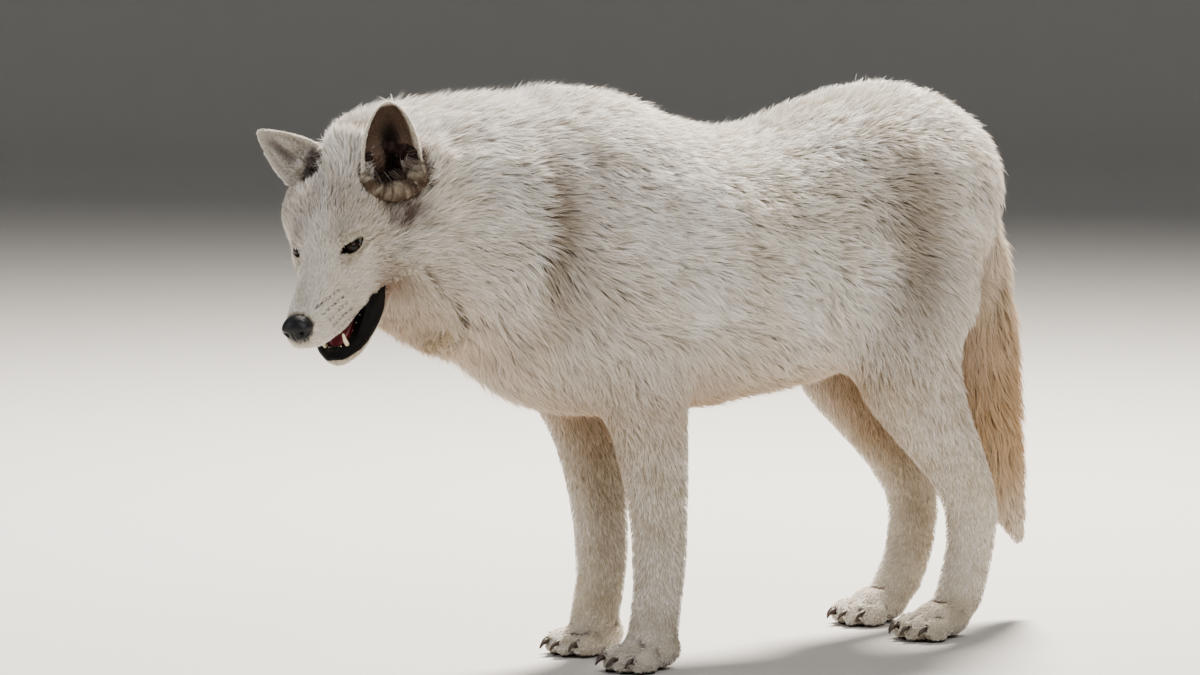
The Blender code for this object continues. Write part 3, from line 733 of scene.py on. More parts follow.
headMarkings = (
    ((-0.030, 0.050, -0.080), (0.030, 0.028, 0.030), "rust", 0.70),   # corner of the mouth
    ((-0.060, 0.058, 0.030), (0.045, 0.026, 0.030), "umber", 0.45),   # above the eye, up to the ear
    ((-0.035, 0.020, 0.042), (0.030, 0.018, 0.020), "umber", 0.40),   # forehead
    ((0.022, 0.026, -0.012), (0.014, 0.010, 0.010), "sand", 0.60),    # below the eye's inner corner
    ((0.000, 0.030, 0.022), (0.022, 0.014, 0.010), "umber", 0.45),    # brow
    ((-0.034, 0.086, -0.032), (0.007, 0.020, 0.004), "ink", 0.55),    # cheek
    ((-0.060, 0.050, -0.085), (0.060, 0.050, 0.030), "sand", 0.45),   # under the cheek
)
whiskerSpots = [(0.108 - 0.009 * k - 0.003 * row, -0.026 - 0.011 * row - 0.0010 * k)
                for row in range(5) for k in range(6)]
tufts = (
    # where the coat stands up in a bank, painted bright as a highlight, how far, how much higher
    ((0.135, -0.305, 0.60), (0.06, 0.018, 0.13), 0.40),          # edge of the mane
    ((0.155, -0.066, 0.55), (0.06, 0.020, 0.11), 0.35),          # behind the shoulder
    ((0.145, 0.250, 0.50), (0.06, 0.024, 0.09), 0.35),           # edge of the flank
)


def inPatch(points, place, reach):
    away = (points - np.array(place)) / np.array(reach)
    return np.exp(-(away ** 2).sum(-1))


def mouthLitShare(points):
    # 1 at the front of the mouth, falling to 0 towards the throat, where painted shade takes over
    return ease(inHead(points)[:, 0], 0.020, 0.055)


def bareColour():
    # Black lips and lid edges, dark red inside the mouth turning to painted shade near black towards the
    # throat, painted shade near black in the ears' hollows, dark grey pads; one colour for each skin point
    colour = np.tile(linear(mouthLook["lip"]), (len(skinPoints), 1))
    jx, jy, jz = inJaw(skinPoints).T
    hx, hy, hz = skinInHead.T
    palate = isPart("head") & (hz > -0.076) & (abs(hy) < 0.026) & (hz < -0.045)
    reach = np.interp(jx, [0, 0.03, 0.08, 0.105, 0.122], [0.018, 0.018, 0.020, 0.017, 0.005])
    floor = isPart("lower_jaw") & (abs(jy) < reach) & (jz > -0.027) & (jx < 0.118)
    # painted shade: the mouth's red fades to near black towards the throat
    red = mouthLitShare(skinPoints)[:, None]
    inner = linear(mouthLook["throat"]) * (1 - red) + linear(mouthLook["inside"]) * red
    colour[palate | floor] = inner[palate | floor]
    colour[isPart(*pawNodes)] = linear(mouthLook["pad"])
    # painted shade: the head's bare skin in the ears' hollows is near black
    colour[isPart("head") & (hx < -0.045)] = coatColours["earDeepShade"]
    return colour


def coatColour(points, dark):
    # The coat's colour at any points, in linear light; dark is the share of brown: the ears' own brown, and
    # painted shade deep in the ears, in the folds before them and between the toes
    mirrored = points.copy()
    mirrored[:, 0] = abs(mirrored[:, 0])
    inside = inHead(points)
    inside[:, 1] = abs(inside[:, 1])
    colour = np.tile(coatColours["white"], (len(points), 1))

    def tint(name, share):
        nonlocal colour
        colour = colour + (coatColours[name] - colour) * np.clip(share, 0, 1)[:, None]

    tint("cream", 0.20 + 0.30 * waves(points, 0.16, 11))
    tint("sand", 0.28 * ease(waves(points, 0.045, 12), 0.15, 1.3))
    for where, table in ((mirrored, markings), (inside, headMarkings)):
        for place, reach, name, much in table:
            tint(name, much * inPatch(where, place, reach))
    muzzle = inside[:, 0] > 0.03
    for ahead, up in whiskerSpots:
        away = np.hypot(0.6 * (inside[muzzle, 0] - ahead), inside[muzzle, 2] - up)
        spot = np.zeros(len(points))
        spot[muzzle] = 1 - ease(away, 1.0 * mm, 1.9 * mm)
        tint("ink", spot)
    # painted highlight: the raised banks tinted white
    for place, reach, _ in tufts:
        tint("white", inPatch(mirrored, place, reach))
    # painted shade: dark turns the colour brown, then near black
    tint("earBrownAndShade", ease(dark, 0, 0.45))
    tint("earDeepShade", ease(dark, 0.45, 1.0))
    return colour


# Materials
hairLook = {"roughness": 0.5, "specular": 0.4, "through": 0.35}     # through: share of light let through
hideLook = {
    "shadeUnderCoat": (0.50, 0.46, 0.38),      # painted shade: what the hide under the coat keeps of the coat's colour
    "grain": 0.9 / mm, "relief": 0.6 * mm, "strength": 0.35,      # pores 1.1 mm apart
    "roughness": 0.55, "specular": 0.07,
}


def makeCoatMaterial():
    # Guard hair: pale keratin, soft gloss along each lock and light coming through its edges
    made, tree, _ = newMaterial("guard hair")
    tree.nodes.clear()
    colour = addNode(tree, "ShaderNodeAttribute", attribute_name="coatColour")
    hair = addNode(tree, "ShaderNodeBsdfPrincipled", {
        "Base Color": colour.outputs["Color"], "Roughness": hairLook["roughness"],
        "Specular IOR Level": hairLook["specular"]})
    glow = addNode(tree, "ShaderNodeBsdfTranslucent", {"Color": colour.outputs["Color"]})
    mix = addNode(tree, "ShaderNodeMixShader", {
        0: hairLook["through"], 1: hair.outputs[0], 2: glow.outputs[0]})
    addNode(tree, "ShaderNodeOutputMaterial", {"Surface": mix.outputs[0]})
    return made


def makeSkinMaterial():
    # Hide under the coat: matte, with the coat's markings and dark bare skin at lips, lids and pads
    made, tree, shader = newMaterial("wolf hide")
    colour = addNode(tree, "ShaderNodeAttribute", attribute_name="coatColour")
    place = addNode(tree, "ShaderNodeTexCoord")
    grain = addNode(tree, "ShaderNodeTexNoise", {
        "Vector": place.outputs["Object"], "Scale": hideLook["grain"], "Detail": 3.0})
    bump = addNode(tree, "ShaderNodeBump", {
        "Height": grain.outputs["Fac"], "Strength": hideLook["strength"], "Distance": hideLook["relief"]})
    feed(tree, shader, {
        "Base Color": colour.outputs["Color"], "Normal": bump.outputs["Normal"],
        "Roughness": hideLook["roughness"], "Specular IOR Level": hideLook["specular"]})
    return made


coatMaterial = makeCoatMaterial()
skinMaterial = makeSkinMaterial()


# Skin
def makeSkin():
    mesh = meshFrom("skin", skinPoints, skinTriangles)
    mesh.shade_smooth()
    share = bare[:, None]
    # painted shade: the haired hide is the coat's colour darkened under the coat
    haired = coatColour(skinPoints, shade) * hideLook["shadeUnderCoat"]
    writeColours(mesh, haired * (1 - share) + bareColour() * share)
    finishPiece(newObject("skin", mesh, skinMaterial), "winter_coat", *fleshNodes)


makeSkin()


# Unwrap of the skin: each part is unrolled about its own middle line
unrollLook = {
    "body": (("trunk", "neck"), (0, 1, 0), (1, 0, 0)), "tail": (("tail",), (0, 0, 1), (1, 0, 0)),
    "head": (("head",), None, None), "jaw": (("lower_jaw",), None, None),
    **{f"leg_{end}_{side}": ((f"leg_{end}_{side}", f"paw_{end}_{side}"), (0, 0, 1), (1, 0, 0))
       for end in ends for side in sides},
}


def unroll(points, along, first):
    # Angle about the middle line and place along it, both from 0 to 1
    second = np.cross(along, first)
    a, u, v = points @ along, points @ first, points @ second
    step = np.minimum(((a - a.min()) / (np.ptp(a) + 1e-9) * 20).astype(int), 19)
    count = np.maximum(np.bincount(step, minlength=20), 1)
    level = np.bincount(step, a, 20) / count
    filled = np.bincount(step, minlength=20) > 0
    u = u - np.interp(a, level[filled], (np.bincount(step, u, 20) / count)[filled])
    v = v - np.interp(a, level[filled], (np.bincount(step, v, 20) / count)[filled])
    return np.stack([np.arctan2(u, v) / (2 * math.pi) + 0.5, (a - a.min()) / (np.ptp(a) + 1e-9)], -1)


def makeUnwrap():
    # A tile number and a place in the tile for each skin point
    tile = np.zeros(len(skinPoints), int)
    place = np.zeros((len(skinPoints), 2))
    for number, (names, along, first) in enumerate(unrollLook.values()):
        members = isPart(*names)
        along = headDirection((1, 0, 0)) if along is None else np.array(along)
        first = headDirection((0, 1, 0)) if first is None else np.array(first)
        tile[members] = number
        place[members] = unroll(skinPoints[members], along, first)
    for side in sides:
        axis, opening = headDirection(earLook[side]["axis"]), headDirection(earLook[side]["opening"])
        for inside in (False, True):
            number += 1
            members = isPart(f"ear_{side}") & ((skinNormals @ opening > 0) == inside)
            tile[members] = number
            flat = skinPoints[members] @ np.stack([unit(np.cross(axis, opening)), unit(axis)], -1)
            place[members] = (flat - flat.min(0)) / np.ptp(flat, axis=0)
    return tile, place


skinTile, skinPlace = makeUnwrap()


# Coat: locks of thin tapered blades from the skin to the outline
coatLook = {
    "quickShare": 0.5,
    "clump": 0.40,           # how far a lock's blades close up towards its tip
    "roll": 0.6,             # turn of a blade about its length, radians
    # painted shade along each lock: gap times rootTint at the root, tipShade at the tip, riseShade for how
    # it changes
    "rootTint": (1.04, 0.96, 0.84), "tipShade": 1.08, "riseShade": 0.75,
    "swirl": 0.30, "swirlSize": 0.11, "swell": 0.10, "swellSize": 0.05,
    "patch": 0.003,          # side of a tuft's place on the unwrap
    "sunk": 0.8 * mm,        # how far a lock's root lies under the skin
    "stations": ((0.30, 0.58), (0.65, 0.86), (1.0, 1.0)),     # along a lock, and the share of its height
}
usualLocks = {
    "radius": 0.004,         # how far a lock's blades start from its middle
    "wild": 0.10, "bend": 0.2, "swirl": 1.0,      # how unevenly locks stand, turn and swirl
    "steps": 3,              # stretches in a blade's length
    "vary": 0.08,            # how much locks differ in tone
    "gap": 0.48,             # painted shade at a lock's root
    "darker": 0.12,          # share of locks with sandy tips
    "raised": 1.0,           # height of the tips, 1 at the outline
}
torsoLocks = {"locks": 9700, "blades": 3, "width": 1.15 * mm, "radius": 0.0024}
legLocks = {"locks": 20000, "blades": 2, "wild": 0.06, "steps": 2, "gap": 0.56}
coatPieces = {
    "coatFace": {"seed": 1, "locks": 19000, "blades": 2, "width": 0.62 * mm, "radius": 0.0009,
                 "steps": 2, "swirl": 0.3, "gap": 0.58},
    "coatCheeks": {"seed": 2, "locks": 14500, "blades": 2, "width": 0.75 * mm, "radius": 0.0014,
                   "swirl": 0.8, "gap": 0.52, "darker": 0.35},
    "coatCrown": {"seed": 11, "locks": 9500, "blades": 3, "width": 0.85 * mm, "radius": 0.0020,
                  "gap": 0.52, "darker": 0.25},
    "coatEars": {"seed": 3, "locks": 15000, "blades": 2, "width": 0.55 * mm, "radius": 0.0010,
                 "wild": 0.30, "bend": 0.30, "steps": 2, "swirl": 0.3, "vary": 0.14, "gap": 0.6},
    "coatNeck": {"seed": 4, **torsoLocks}, "coatShoulders": {"seed": 5, **torsoLocks},
    "coatFlanks": {"seed": 6, **torsoLocks}, "coatRump": {"seed": 7, **torsoLocks},
    "coatForelegs": {"seed": 8, **legLocks, "width": 0.9 * mm, "radius": 0.0014, "swirl": 0.4},
    "coatHindlegs": {"seed": 9, **legLocks, "width": 0.95 * mm, "radius": 0.0016, "swirl": 0.5},
    "coatPaws": {"seed": 12, "locks": 9000, "blades": 2, "width": 0.8 * mm, "radius": 0.0010,
                 "wild": 0.06, "steps": 2, "swirl": 0.3, "gap": 0.6},
    "coatTail": {"seed": 10, "locks": 4500, "blades": 3, "width": 1.3 * mm, "radius": 0.0034},
    "coatFringe": {"seed": 13, "locks": 10000, "blades": 1, "width": 0.5 * mm, "bend": 0.35,
                   "raised": 1.22},
}
outerTree = BVHTree.FromPolygons(outer.tolist(), skinTriangles.tolist())


def nearestOuter(points):
    places = np.empty_like(points)
    normals = np.empty_like(points)
    for i, p in enumerate(points.tolist()):
        place, normal, _, _ = outerTree.find_nearest(p)
        places[i] = place
        normals[i] = normal
    return places, normals


def chooseRoots(mask, count, density, rng):
    # Evenly spread root places on the triangles with most of their corners in mask
    chosen = np.flatnonzero(mask[skinTriangles].sum(1) >= 2)
    a, b, c = skinPoints[skinTriangles[chosen]].transpose(1, 0, 2)
    area = 0.5 * np.linalg.norm(np.cross(b - a, c - a), axis=1)
    weight = np.cumsum(area * density[skinTriangles[chosen]].mean(1))
    at = (np.arange(count) + rng.random(count)) / count * weight[-1]
    picked = chosen[np.minimum(np.searchsorted(weight, at), len(chosen) - 1)]
    a, b = rng.random((2, count))
    flip = a + b > 1
    a[flip], b[flip] = 1 - a[flip], 1 - b[flip]
    return skinTriangles[picked], np.stack([1 - a - b, a, b], -1)


def between(values, corners, shares):
    return np.einsum("ij,ij...->i...", shares, values[corners])


def rootPlaces(corners):
    # Where each lock's root lies on its piece's own unwrap, parts side by side
    tiles, column = np.unique(skinTile[corners[:, 0]], return_inverse=True)
    place = skinPlace[corners[:, 0]].copy()
    low, high = place[:, 1].min(), place[:, 1].max()
    place[:, 0] = (column + 0.03 + 0.94 * place[:, 0]) / len(tiles)
    place[:, 1] = 0.02 + 0.96 * (place[:, 1] - low) / (high - low)
    return place


def lockSpines(root, rootNormal, flow, deep, reach, stand, up):
    # A lock's middle line, from just under the skin out to the coat's outline and along it
    spine, normals = [root - rootNormal * coatLook["sunk"]], [rootNormal]
    outerRoot = root + rootNormal * deep[:, None]
    for along, height in coatLook["stations"]:
        place, normal = nearestOuter(outerRoot + flow * (reach * along)[:, None])
        high = height * (1 + (stand - 1) * along) * up
        spine.append(place - normal * (deep * (1 - high))[:, None])
        normals.append(normal)
    return np.stack(spine, 1), unit(np.stack(normals, 1))       # lock, station, xyz


def lockBlades(rng, spine, normals, side, flow, blades, steps, radius, width):
    # Thin tapered blades about each lock's middle line, drawn together towards its tip
    lockOf = np.repeat(np.arange(len(spine)), blades)
    count = len(lockOf)
    around = rng.normal(0, radius, (count, 2))
    shorter = rng.uniform(0.70, 1.0, count)
    stations = np.linspace(0, 1, steps + 1)
    at = stations[None, :] * shorter[:, None] * 3
    k = np.minimum(at.astype(int), 2)
    t = (at - k)[..., None]
    rows = np.arange(count)[:, None]
    blade = spine[lockOf][rows, k] * (1 - t) + spine[lockOf][rows, k + 1] * t
    over = unit(normals[lockOf][rows, k] * (1 - t) + normals[lockOf][rows, k + 1] * t)
    closing = 1 - coatLook["clump"] * stations[None, :, None]
    blade = blade + (side[lockOf][:, None] * around[:, :1, None]
                     + flow[lockOf][:, None] * around[:, 1:, None]) * closing
    blade[:, 1:] += rng.normal(0, 0.20, (count, 1, 3)) * (radius * stations[None, 1:, None])
    along = unit(np.gradient(blade, axis=1))
    across = unit(np.cross(along, over))
    turn = rng.normal(0, coatLook["roll"], count)[:, None, None]
    across = across * np.cos(turn) + np.cross(along, across) * np.sin(turn)
    half = 0.5 * width * rng.uniform(0.7, 1.25, count)[:, None, None]
    half = half * (1 - 0.35 * stations[None, :-1, None] ** 2)
    left = blade[:, :-1] - across[:, :-1] * half
    right = blade[:, :-1] + across[:, :-1] * half
    size = 2 * steps + 1
    points = np.concatenate([np.stack([left, right], 2).reshape(count, size - 1, 3), blade[:, -1:]], 1)
    firsts = range(0, size - 3, 2)
    pattern = [(a, a + 1, a + 3) for a in firsts] + [(a, a + 3, a + 2) for a in firsts]
    pattern = np.array(pattern + [(size - 3, size - 2, size - 1)])
    faces = (np.arange(count)[:, None, None] * size + pattern).reshape(-1, 3)
    return lockOf, points.reshape(-1, 3), faces


def lockColours(rng, lockOf, rise, root, dark, vary, gap, darker):
    # Each lock's own tone, with painted shade darkening its root and paling towards its tip, and some tips
    # sandy
    locks = len(root)
    tone = 1 + rng.normal(0, vary, locks)[lockOf] + rng.normal(0, 0.6 * vary, len(lockOf))
    base = coatColour(root, dark)[lockOf] * tone[:, None]
    rootToTipShade = (rise ** coatLook["riseShade"])[:, None]
    rootToTipShade = gap * np.array(coatLook["rootTint"]) * (1 - rootToTipShade) + coatLook["tipShade"] * rootToTipShade
    sandy = (rng.random(locks) < darker)[lockOf][:, None, None] * (0.55 * rise)[None, :, None]
    colours = base[:, None] * rootToTipShade[None]
    return colours + (np.minimum(colours, coatColours["sand"]) - colours) * sandy


def growCoat(name, mask, seed, locks, blades, width, radius, wild, bend, swirl, steps, vary, gap, darker,
             raised):
    # One piece of the coat: each lock is a bunch of blades that starts together and closes to a point
    rng = np.random.default_rng(seed)
    corners, shares = chooseRoots(mask, locks, (1 - bare) ** 2, rng)
    root = between(skinPoints, corners, shares)
    rootNormal = unit(between(skinNormals, corners, shares))
    flow = between(lie, corners, shares)
    deep = between(depth, corners, shares)
    up = between(lift, corners, shares)
    side = np.cross(rootNormal, flow)
    turn = rng.normal(0, bend, locks) + swirl * coatLook["swirl"] * waves(root, coatLook["swirlSize"], 21)
    flow = tangent(unit(flow + side * turn[:, None]), rootNormal)
    side = np.cross(rootNormal, flow)
    length = deep * between(longer, corners, shares) * rng.uniform(0.8, 1.15, locks)
    reach = np.sqrt(np.maximum(length ** 2 - deep ** 2, 0)) * (0.4 + 0.6 * up)
    stand = raised + rng.normal(0, wild, locks)
    stand += coatLook["swell"] * (waves(root, coatLook["swellSize"], 22) - 0.5)
    for place, far, higher in tufts:
        stand += higher * inPatch(np.stack([abs(root[:, 0]), root[:, 1], root[:, 2]], -1), place, far)
    spine, normals = lockSpines(root, rootNormal, flow, deep, reach, stand, up)
    lockOf, points, faces = lockBlades(rng, spine, normals, side, flow, blades, steps, radius, width)
    mesh = meshFrom(name, points, faces)
    mesh.shade_smooth()

    rise = np.append(np.repeat(np.linspace(0, 1, steps + 1)[:-1], 2), 1.0)      # 0 at the root, 1 at the tip
    colours = lockColours(rng, lockOf, rise, root, between(shade, corners, shares), vary, gap, darker)
    writeColours(mesh, colours.reshape(-1, 3))
    place = rootPlaces(corners)[lockOf][:, None] + coatLook["patch"] * np.stack(
        [np.append(np.tile([-0.5, 0.5], steps), 0.0), rise - 0.5], -1)[None]
    layer = mesh.uv_layers.new(name="OFBake")
    layer.data.foreach_set("uv", place.reshape(-1, 2)[faces.ravel()].astype(np.float32).ravel())
    finishPiece(newObject(name, mesh, coatMaterial), "winter_coat")
    print(name, "blades", len(lockOf), "triangles", len(faces))


def coatAreas():
    # The points of the skin that each piece of the coat grows on
    y, hx = skinPoints[:, 1], skinInHead[:, 0]
    onHead, torso, tail = isPart("head", "lower_jaw"), isPart("trunk", "neck"), isPart("tail")
    crown = onHead & (hx <= -0.075)
    return {
        "coatFace": onHead & (hx > -0.010), "coatCheeks": onHead & (hx <= -0.010) & (hx > -0.075),
        "coatCrown": crown, "coatEars": isPart(*earNodes),
        "coatNeck": torso & (y < -0.22), "coatShoulders": torso & (y >= -0.22) & (y < 0.00),
        "coatFlanks": torso & (y >= 0.00) & (y < 0.26), "coatRump": torso & (y >= 0.26),
        "coatForelegs": isPart("leg_front_left", "leg_front_right"),
        "coatHindlegs": isPart("leg_hind_left", "leg_hind_right"),
        "coatPaws": isPart(*pawNodes), "coatTail": tail, "coatFringe": torso | tail | crown,
    }


for name, area in coatAreas().items():
    growCoat(name, area, **{**usualLocks, **coatPieces[name]})


# Eyeballs
def makeEyeMaterial():
    # Eye: a brown iris under a wet clear cornea, which gives one sharp highlight
    made, tree, shader = newMaterial("wet eye")
    colour = addNode(tree, "ShaderNodeAttribute", attribute_name="eyeColour")
    feed(tree, shader, {
        "Base Color": colour.outputs["Color"], "Roughness": eyeLook["roughness"], "IOR": eyeLook["ior"],
        "Specular IOR Level": eyeLook["specular"], "Coat Weight": eyeLook["wet"],
        "Coat Roughness": eyeLook["wetRoughness"]})
    return made


def makeEyeball(side, material):
    centre, axes = eyeFrame(side)
    rings, around = eyeLook["ballRings"], eyeLook["ballAround"]
    polar = np.linspace(0, math.pi, rings)[:, None]
    turn = np.linspace(0, 2 * math.pi, around, endpoint=False)[None, :]
    radius = (eyeLook["radius"] - 0.8 * mm) + eyeLook["dome"] * np.exp(-(polar / 0.48) ** 4) + 0 * turn
    flat = np.stack([radius * np.sin(polar) * np.cos(turn), radius * np.sin(polar) * np.sin(turn),
                     radius * np.cos(polar) + 0 * turn], -1).reshape(-1, 3)
    mesh = meshFrom(f"eyeball_{side}", centre + flat @ axes, gridTriangles(rings, around)[:, ::sides[side]])
    cleaned(mesh, 1e-6)
    mesh.shade_smooth()
    local = (pointsOf(mesh) - centre) @ axes.T
    off = np.hypot(local[:, 0], local[:, 1])
    off[local[:, 2] < 0] = 1
    angle = np.arctan2(local[:, 1], local[:, 0])
    streak = 0.5 + 0.25 * np.sin(23 * angle + 40 * off / eyeLook["iris"]) + 0.25 * np.sin(37 * angle)
    iris = mixed(eyeLook["dark"], eyeLook["pale"], streak)
    edge = ease(off, 0.78 * eyeLook["iris"], eyeLook["iris"])[:, None]
    colour = iris * (1 - edge) + linear(eyeLook["edge"]) * edge
    colour = colour * ease(off, 0.9 * eyeLook["pupil"], 1.1 * eyeLook["pupil"])[:, None]
    white = ease(off, 1.03 * eyeLook["iris"], 1.25 * eyeLook["iris"])[:, None]
    colour = colour * (1 - white) + linear(eyeLook["white"]) * white
    writeColours(mesh, colour, "eyeColour")
    finishPiece(newObject(f"eyeball_{side}", mesh, material), "eye", f"eye_{side}")


eyeMaterial = makeEyeMaterial()
for side in sides:
    makeEyeball(side, eyeMaterial)
print("eyeballs made")


# Nose pad: two comma nostrils, their wings, and the groove between them
noseLook = {
    "radii": (16.5 * mm, 20 * mm, 18 * mm),
    # the way each patch faces, how long and how tall it is, and its tilt
    "nostril": ((0.74, 0.50, -0.06), 0.21, 0.17, 0.35), "slit": ((0.42, 0.86, -0.26), 0.30, 0.075, 0.55),
    "wing": ((0.62, 0.70, 0.24), 0.34, 0.16, 0.25),
    "nostrilDeep": 6.0 * mm, "slitDeep": 3.2 * mm, "grooveDeep": 1.3 * mm, "wingHigh": 1.0 * mm,
    # grey: painted highlight on the wings and the top of the pad
    "black": "#08080b", "grey": "#191920",
    "pebbles": 0.8 / mm, "relief": 0.5 * mm, "strength": 0.6,      # pebbles 1.25 mm apart
    "roughness": 0.42, "specular": 0.28,
}


def makeNose():
    made = bmesh.new()
    bmesh.ops.create_icosphere(made, subdivisions=6, radius=1)
    mesh = bpy.data.meshes.new("nosePad")
    made.to_mesh(mesh)
    made.free()
    d = pointsOf(mesh)
    mirrored = d.copy()
    mirrored[:, 1] = abs(mirrored[:, 1])

    def patch(place, long, tall, tilt):
        place = unit(np.array(place))
        sideways = unit(np.cross((0, 0, 1), place))
        up = np.cross(place, sideways)
        turned = sideways * math.cos(tilt) + up * math.sin(tilt)
        other = -sideways * math.sin(tilt) + up * math.cos(tilt)
        away = mirrored - place
        return np.exp(-((away @ turned) / long) ** 2 - ((away @ other) / tall) ** 2)

    radii = np.array(noseLook["radii"])
    p = d * radii
    p[:, 0] = np.sign(d[:, 0]) * abs(d[:, 0]) ** 0.85 * radii[0]
    p[:, 1] *= 1 - 0.26 * ease(-d[:, 2], 0.05, 0.95) - 0.05 * ease(d[:, 2], 0.3, 1)
    p[:, 2] *= 1 - 0.08 * ease(d[:, 2], 0.2, 1)
    hole, slit, wing = (patch(*noseLook[name]) for name in ("nostril", "slit", "wing"))
    groove = np.exp(-(d[:, 1] / 0.055) ** 2) * ease(d[:, 0], 0.15, 0.5) * ease(-d[:, 2], -0.45, 0.1)
    sink = noseLook["nostrilDeep"] * hole + noseLook["slitDeep"] * slit + noseLook["grooveDeep"] * groove
    p -= unit(p / radii ** 2) * (sink - noseLook["wingHigh"] * wing)[:, None]
    setPoints(mesh, np.array(boxCentre("nose")) + p @ np.array(head.to_3x3()).T)
    mesh.shade_smooth()
    # painted highlight: grey on the wings and towards the top; painted shade in the nostrils and slits
    light = wing * 0.5 + 0.3 * ease(d[:, 2], 0, 1)
    tone = mixed(noseLook["black"], noseLook["grey"], light)
    writeColours(mesh, tone * (1 - 0.85 * np.maximum(hole, 0.6 * slit))[:, None], "noseColour")
    finishPiece(newObject("nosePad", mesh, makeNoseMaterial()), "nose_leather", "nose")


def makeNoseMaterial():
    # Nose leather: black skin in damp pebbles, with a soft broken gloss
    made, tree, shader = newMaterial("nose leather")
    colour = addNode(tree, "ShaderNodeAttribute", attribute_name="noseColour")
    place = addNode(tree, "ShaderNodeTexCoord")
    pebble = addNode(tree, "ShaderNodeTexVoronoi", {
        "Vector": place.outputs["Object"], "Scale": noseLook["pebbles"]}, feature="SMOOTH_F1")
    bump = addNode(tree, "ShaderNodeBump", {
        "Height": pebble.outputs["Distance"], "Strength": noseLook["strength"],
        "Distance": noseLook["relief"]}, invert=True)
    feed(tree, shader, {
        "Base Color": colour.outputs["Color"], "Normal": bump.outputs["Normal"],
        "Roughness": noseLook["roughness"], "Specular IOR Level": noseLook["specular"]})
    return made


makeNose()
print("nose pad made")


# Claws, teeth and tongue
# Claw horn: dark brown, paler streaks, worn to a dull gloss
clawLook = {
    "colour": "#1d1512", "other": "#5a4636", "share": 0.8, "grain": 0.26 / mm,     # patches 4 mm apart
    "relief": 0.3 * mm, "roughness": 0.38, "wet": 0.0, "drawnIn": 0.80,
}
# Tooth enamel: ivory, yellower in patches, smooth and wet
enamelLook = {
    "colour": "#efe3c4", "other": "#cdb27c", "share": 0.7, "grain": 0.12 / mm,     # patches 8 mm apart
    "relief": 0.1 * mm, "roughness": 0.22, "wet": 0.6,
}
# Tongue: dark red, fine papillae under a wet film
tongueLook = {
    "colour": "#5a1820", "other": "#7c2e36", "share": 0.6, "grain": 0.9 / mm,      # papillae 1.1 mm apart
    "relief": 0.3 * mm, "roughness": 0.5, "wet": 0.3,
    "groove": 1.8 * mm, "grooveHalf": 3.5 * mm, "edgeUp": 1.2 * mm, "lowered": 2.0 * mm,
}


def plainMaterial(name, look, shaded=None):
    # A surface whose colour wanders between two shades, darkened by an attribute, with a fine relief
    made, tree, shader = newMaterial(name)
    place = addNode(tree, "ShaderNodeTexCoord")
    grain = addNode(tree, "ShaderNodeTexNoise", {
        "Vector": place.outputs["Object"], "Scale": look["grain"], "Detail": 4.0})
    ramp = addNode(tree, "ShaderNodeMapRange", {"Value": grain.outputs["Fac"], "To Max": look["share"]})
    mix = addNode(tree, "ShaderNodeMix", {
        "Factor": ramp.outputs["Result"], "A": (*linear(look["colour"]), 1),
        "B": (*linear(look["other"]), 1)}, data_type="RGBA")
    relief = addNode(tree, "ShaderNodeBump", {
        "Height": grain.outputs["Fac"], "Strength": 0.5, "Distance": look["relief"]})
    colour = mix.outputs[2]
    if shaded:
        dim = addNode(tree, "ShaderNodeAttribute", attribute_name=shaded)
        colour = addNode(tree, "ShaderNodeVectorMath", {0: colour, 1: dim.outputs["Vector"]},
                         operation="MULTIPLY").outputs[0]
    feed(tree, shader, {
        "Base Color": colour, "Normal": relief.outputs["Normal"], "Roughness": look["roughness"],
        "Coat Weight": look["wet"], "Coat Roughness": 0.12})
    return made


def smoothCopy(name, nodes, levels, material, slot, shape=None, size=1.0):
    # Rounds a copy of the nodes and puts it in their place
    points, triangles, _ = gathered(nodes, size)
    piece = newObject(name, meshFrom(name, points, triangles), material)
    cleaned(piece.data, 1e-5, joined=True)
    rounded = piece.modifiers.new("round", "SUBSURF")
    rounded.levels = levels
    rounded.render_levels = levels
    settled(piece)
    if shape:
        setPoints(piece.data, shape(pointsOf(piece.data)))
    piece.data.shade_smooth()
    return finishPiece(piece, slot, *nodes)


def tongueShape(points):
    # A groove down the middle, a soft edge and a dip where it lies against the teeth
    local = inJaw(points)
    groove = np.exp(-(local[:, 1] / tongueLook["grooveHalf"]) ** 2)
    local[:, 2] -= tongueLook["groove"] * groove * ease(local[:, 2], -0.019, -0.013)
    local[:, 2] += tongueLook["edgeUp"] * ease(abs(local[:, 1]), 0.008, 0.018)
    local[:, 2] -= tongueLook["lowered"]
    return local @ np.array(jaw.to_3x3()).T + np.array(jaw.translation)


clawNodes = [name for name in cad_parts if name.startswith("claw_")]
canineNodes = [f"canine_{where}_{side}" for where in ("lower", "upper") for side in sides]
clawHorn = plainMaterial("claw horn", clawLook)
toothEnamel = plainMaterial("tooth enamel", enamelLook)
wetTongue = plainMaterial("wet tongue", tongueLook, "coatColour")
smoothCopy("claws", clawNodes, 2, clawHorn, "claw_horn", size=clawLook["drawnIn"])
smoothCopy("canines", canineNodes, 3, toothEnamel, "tooth_enamel")
tongue = smoothCopy("tongueTop", ["tongue"], 3, wetTongue, "tongue", tongueShape)
# painted shade: the tongue darkens towards the throat
writeColours(tongue.data, 0.06 + 0.94 * mouthLitShare(pointsOf(tongue.data))[:, None])


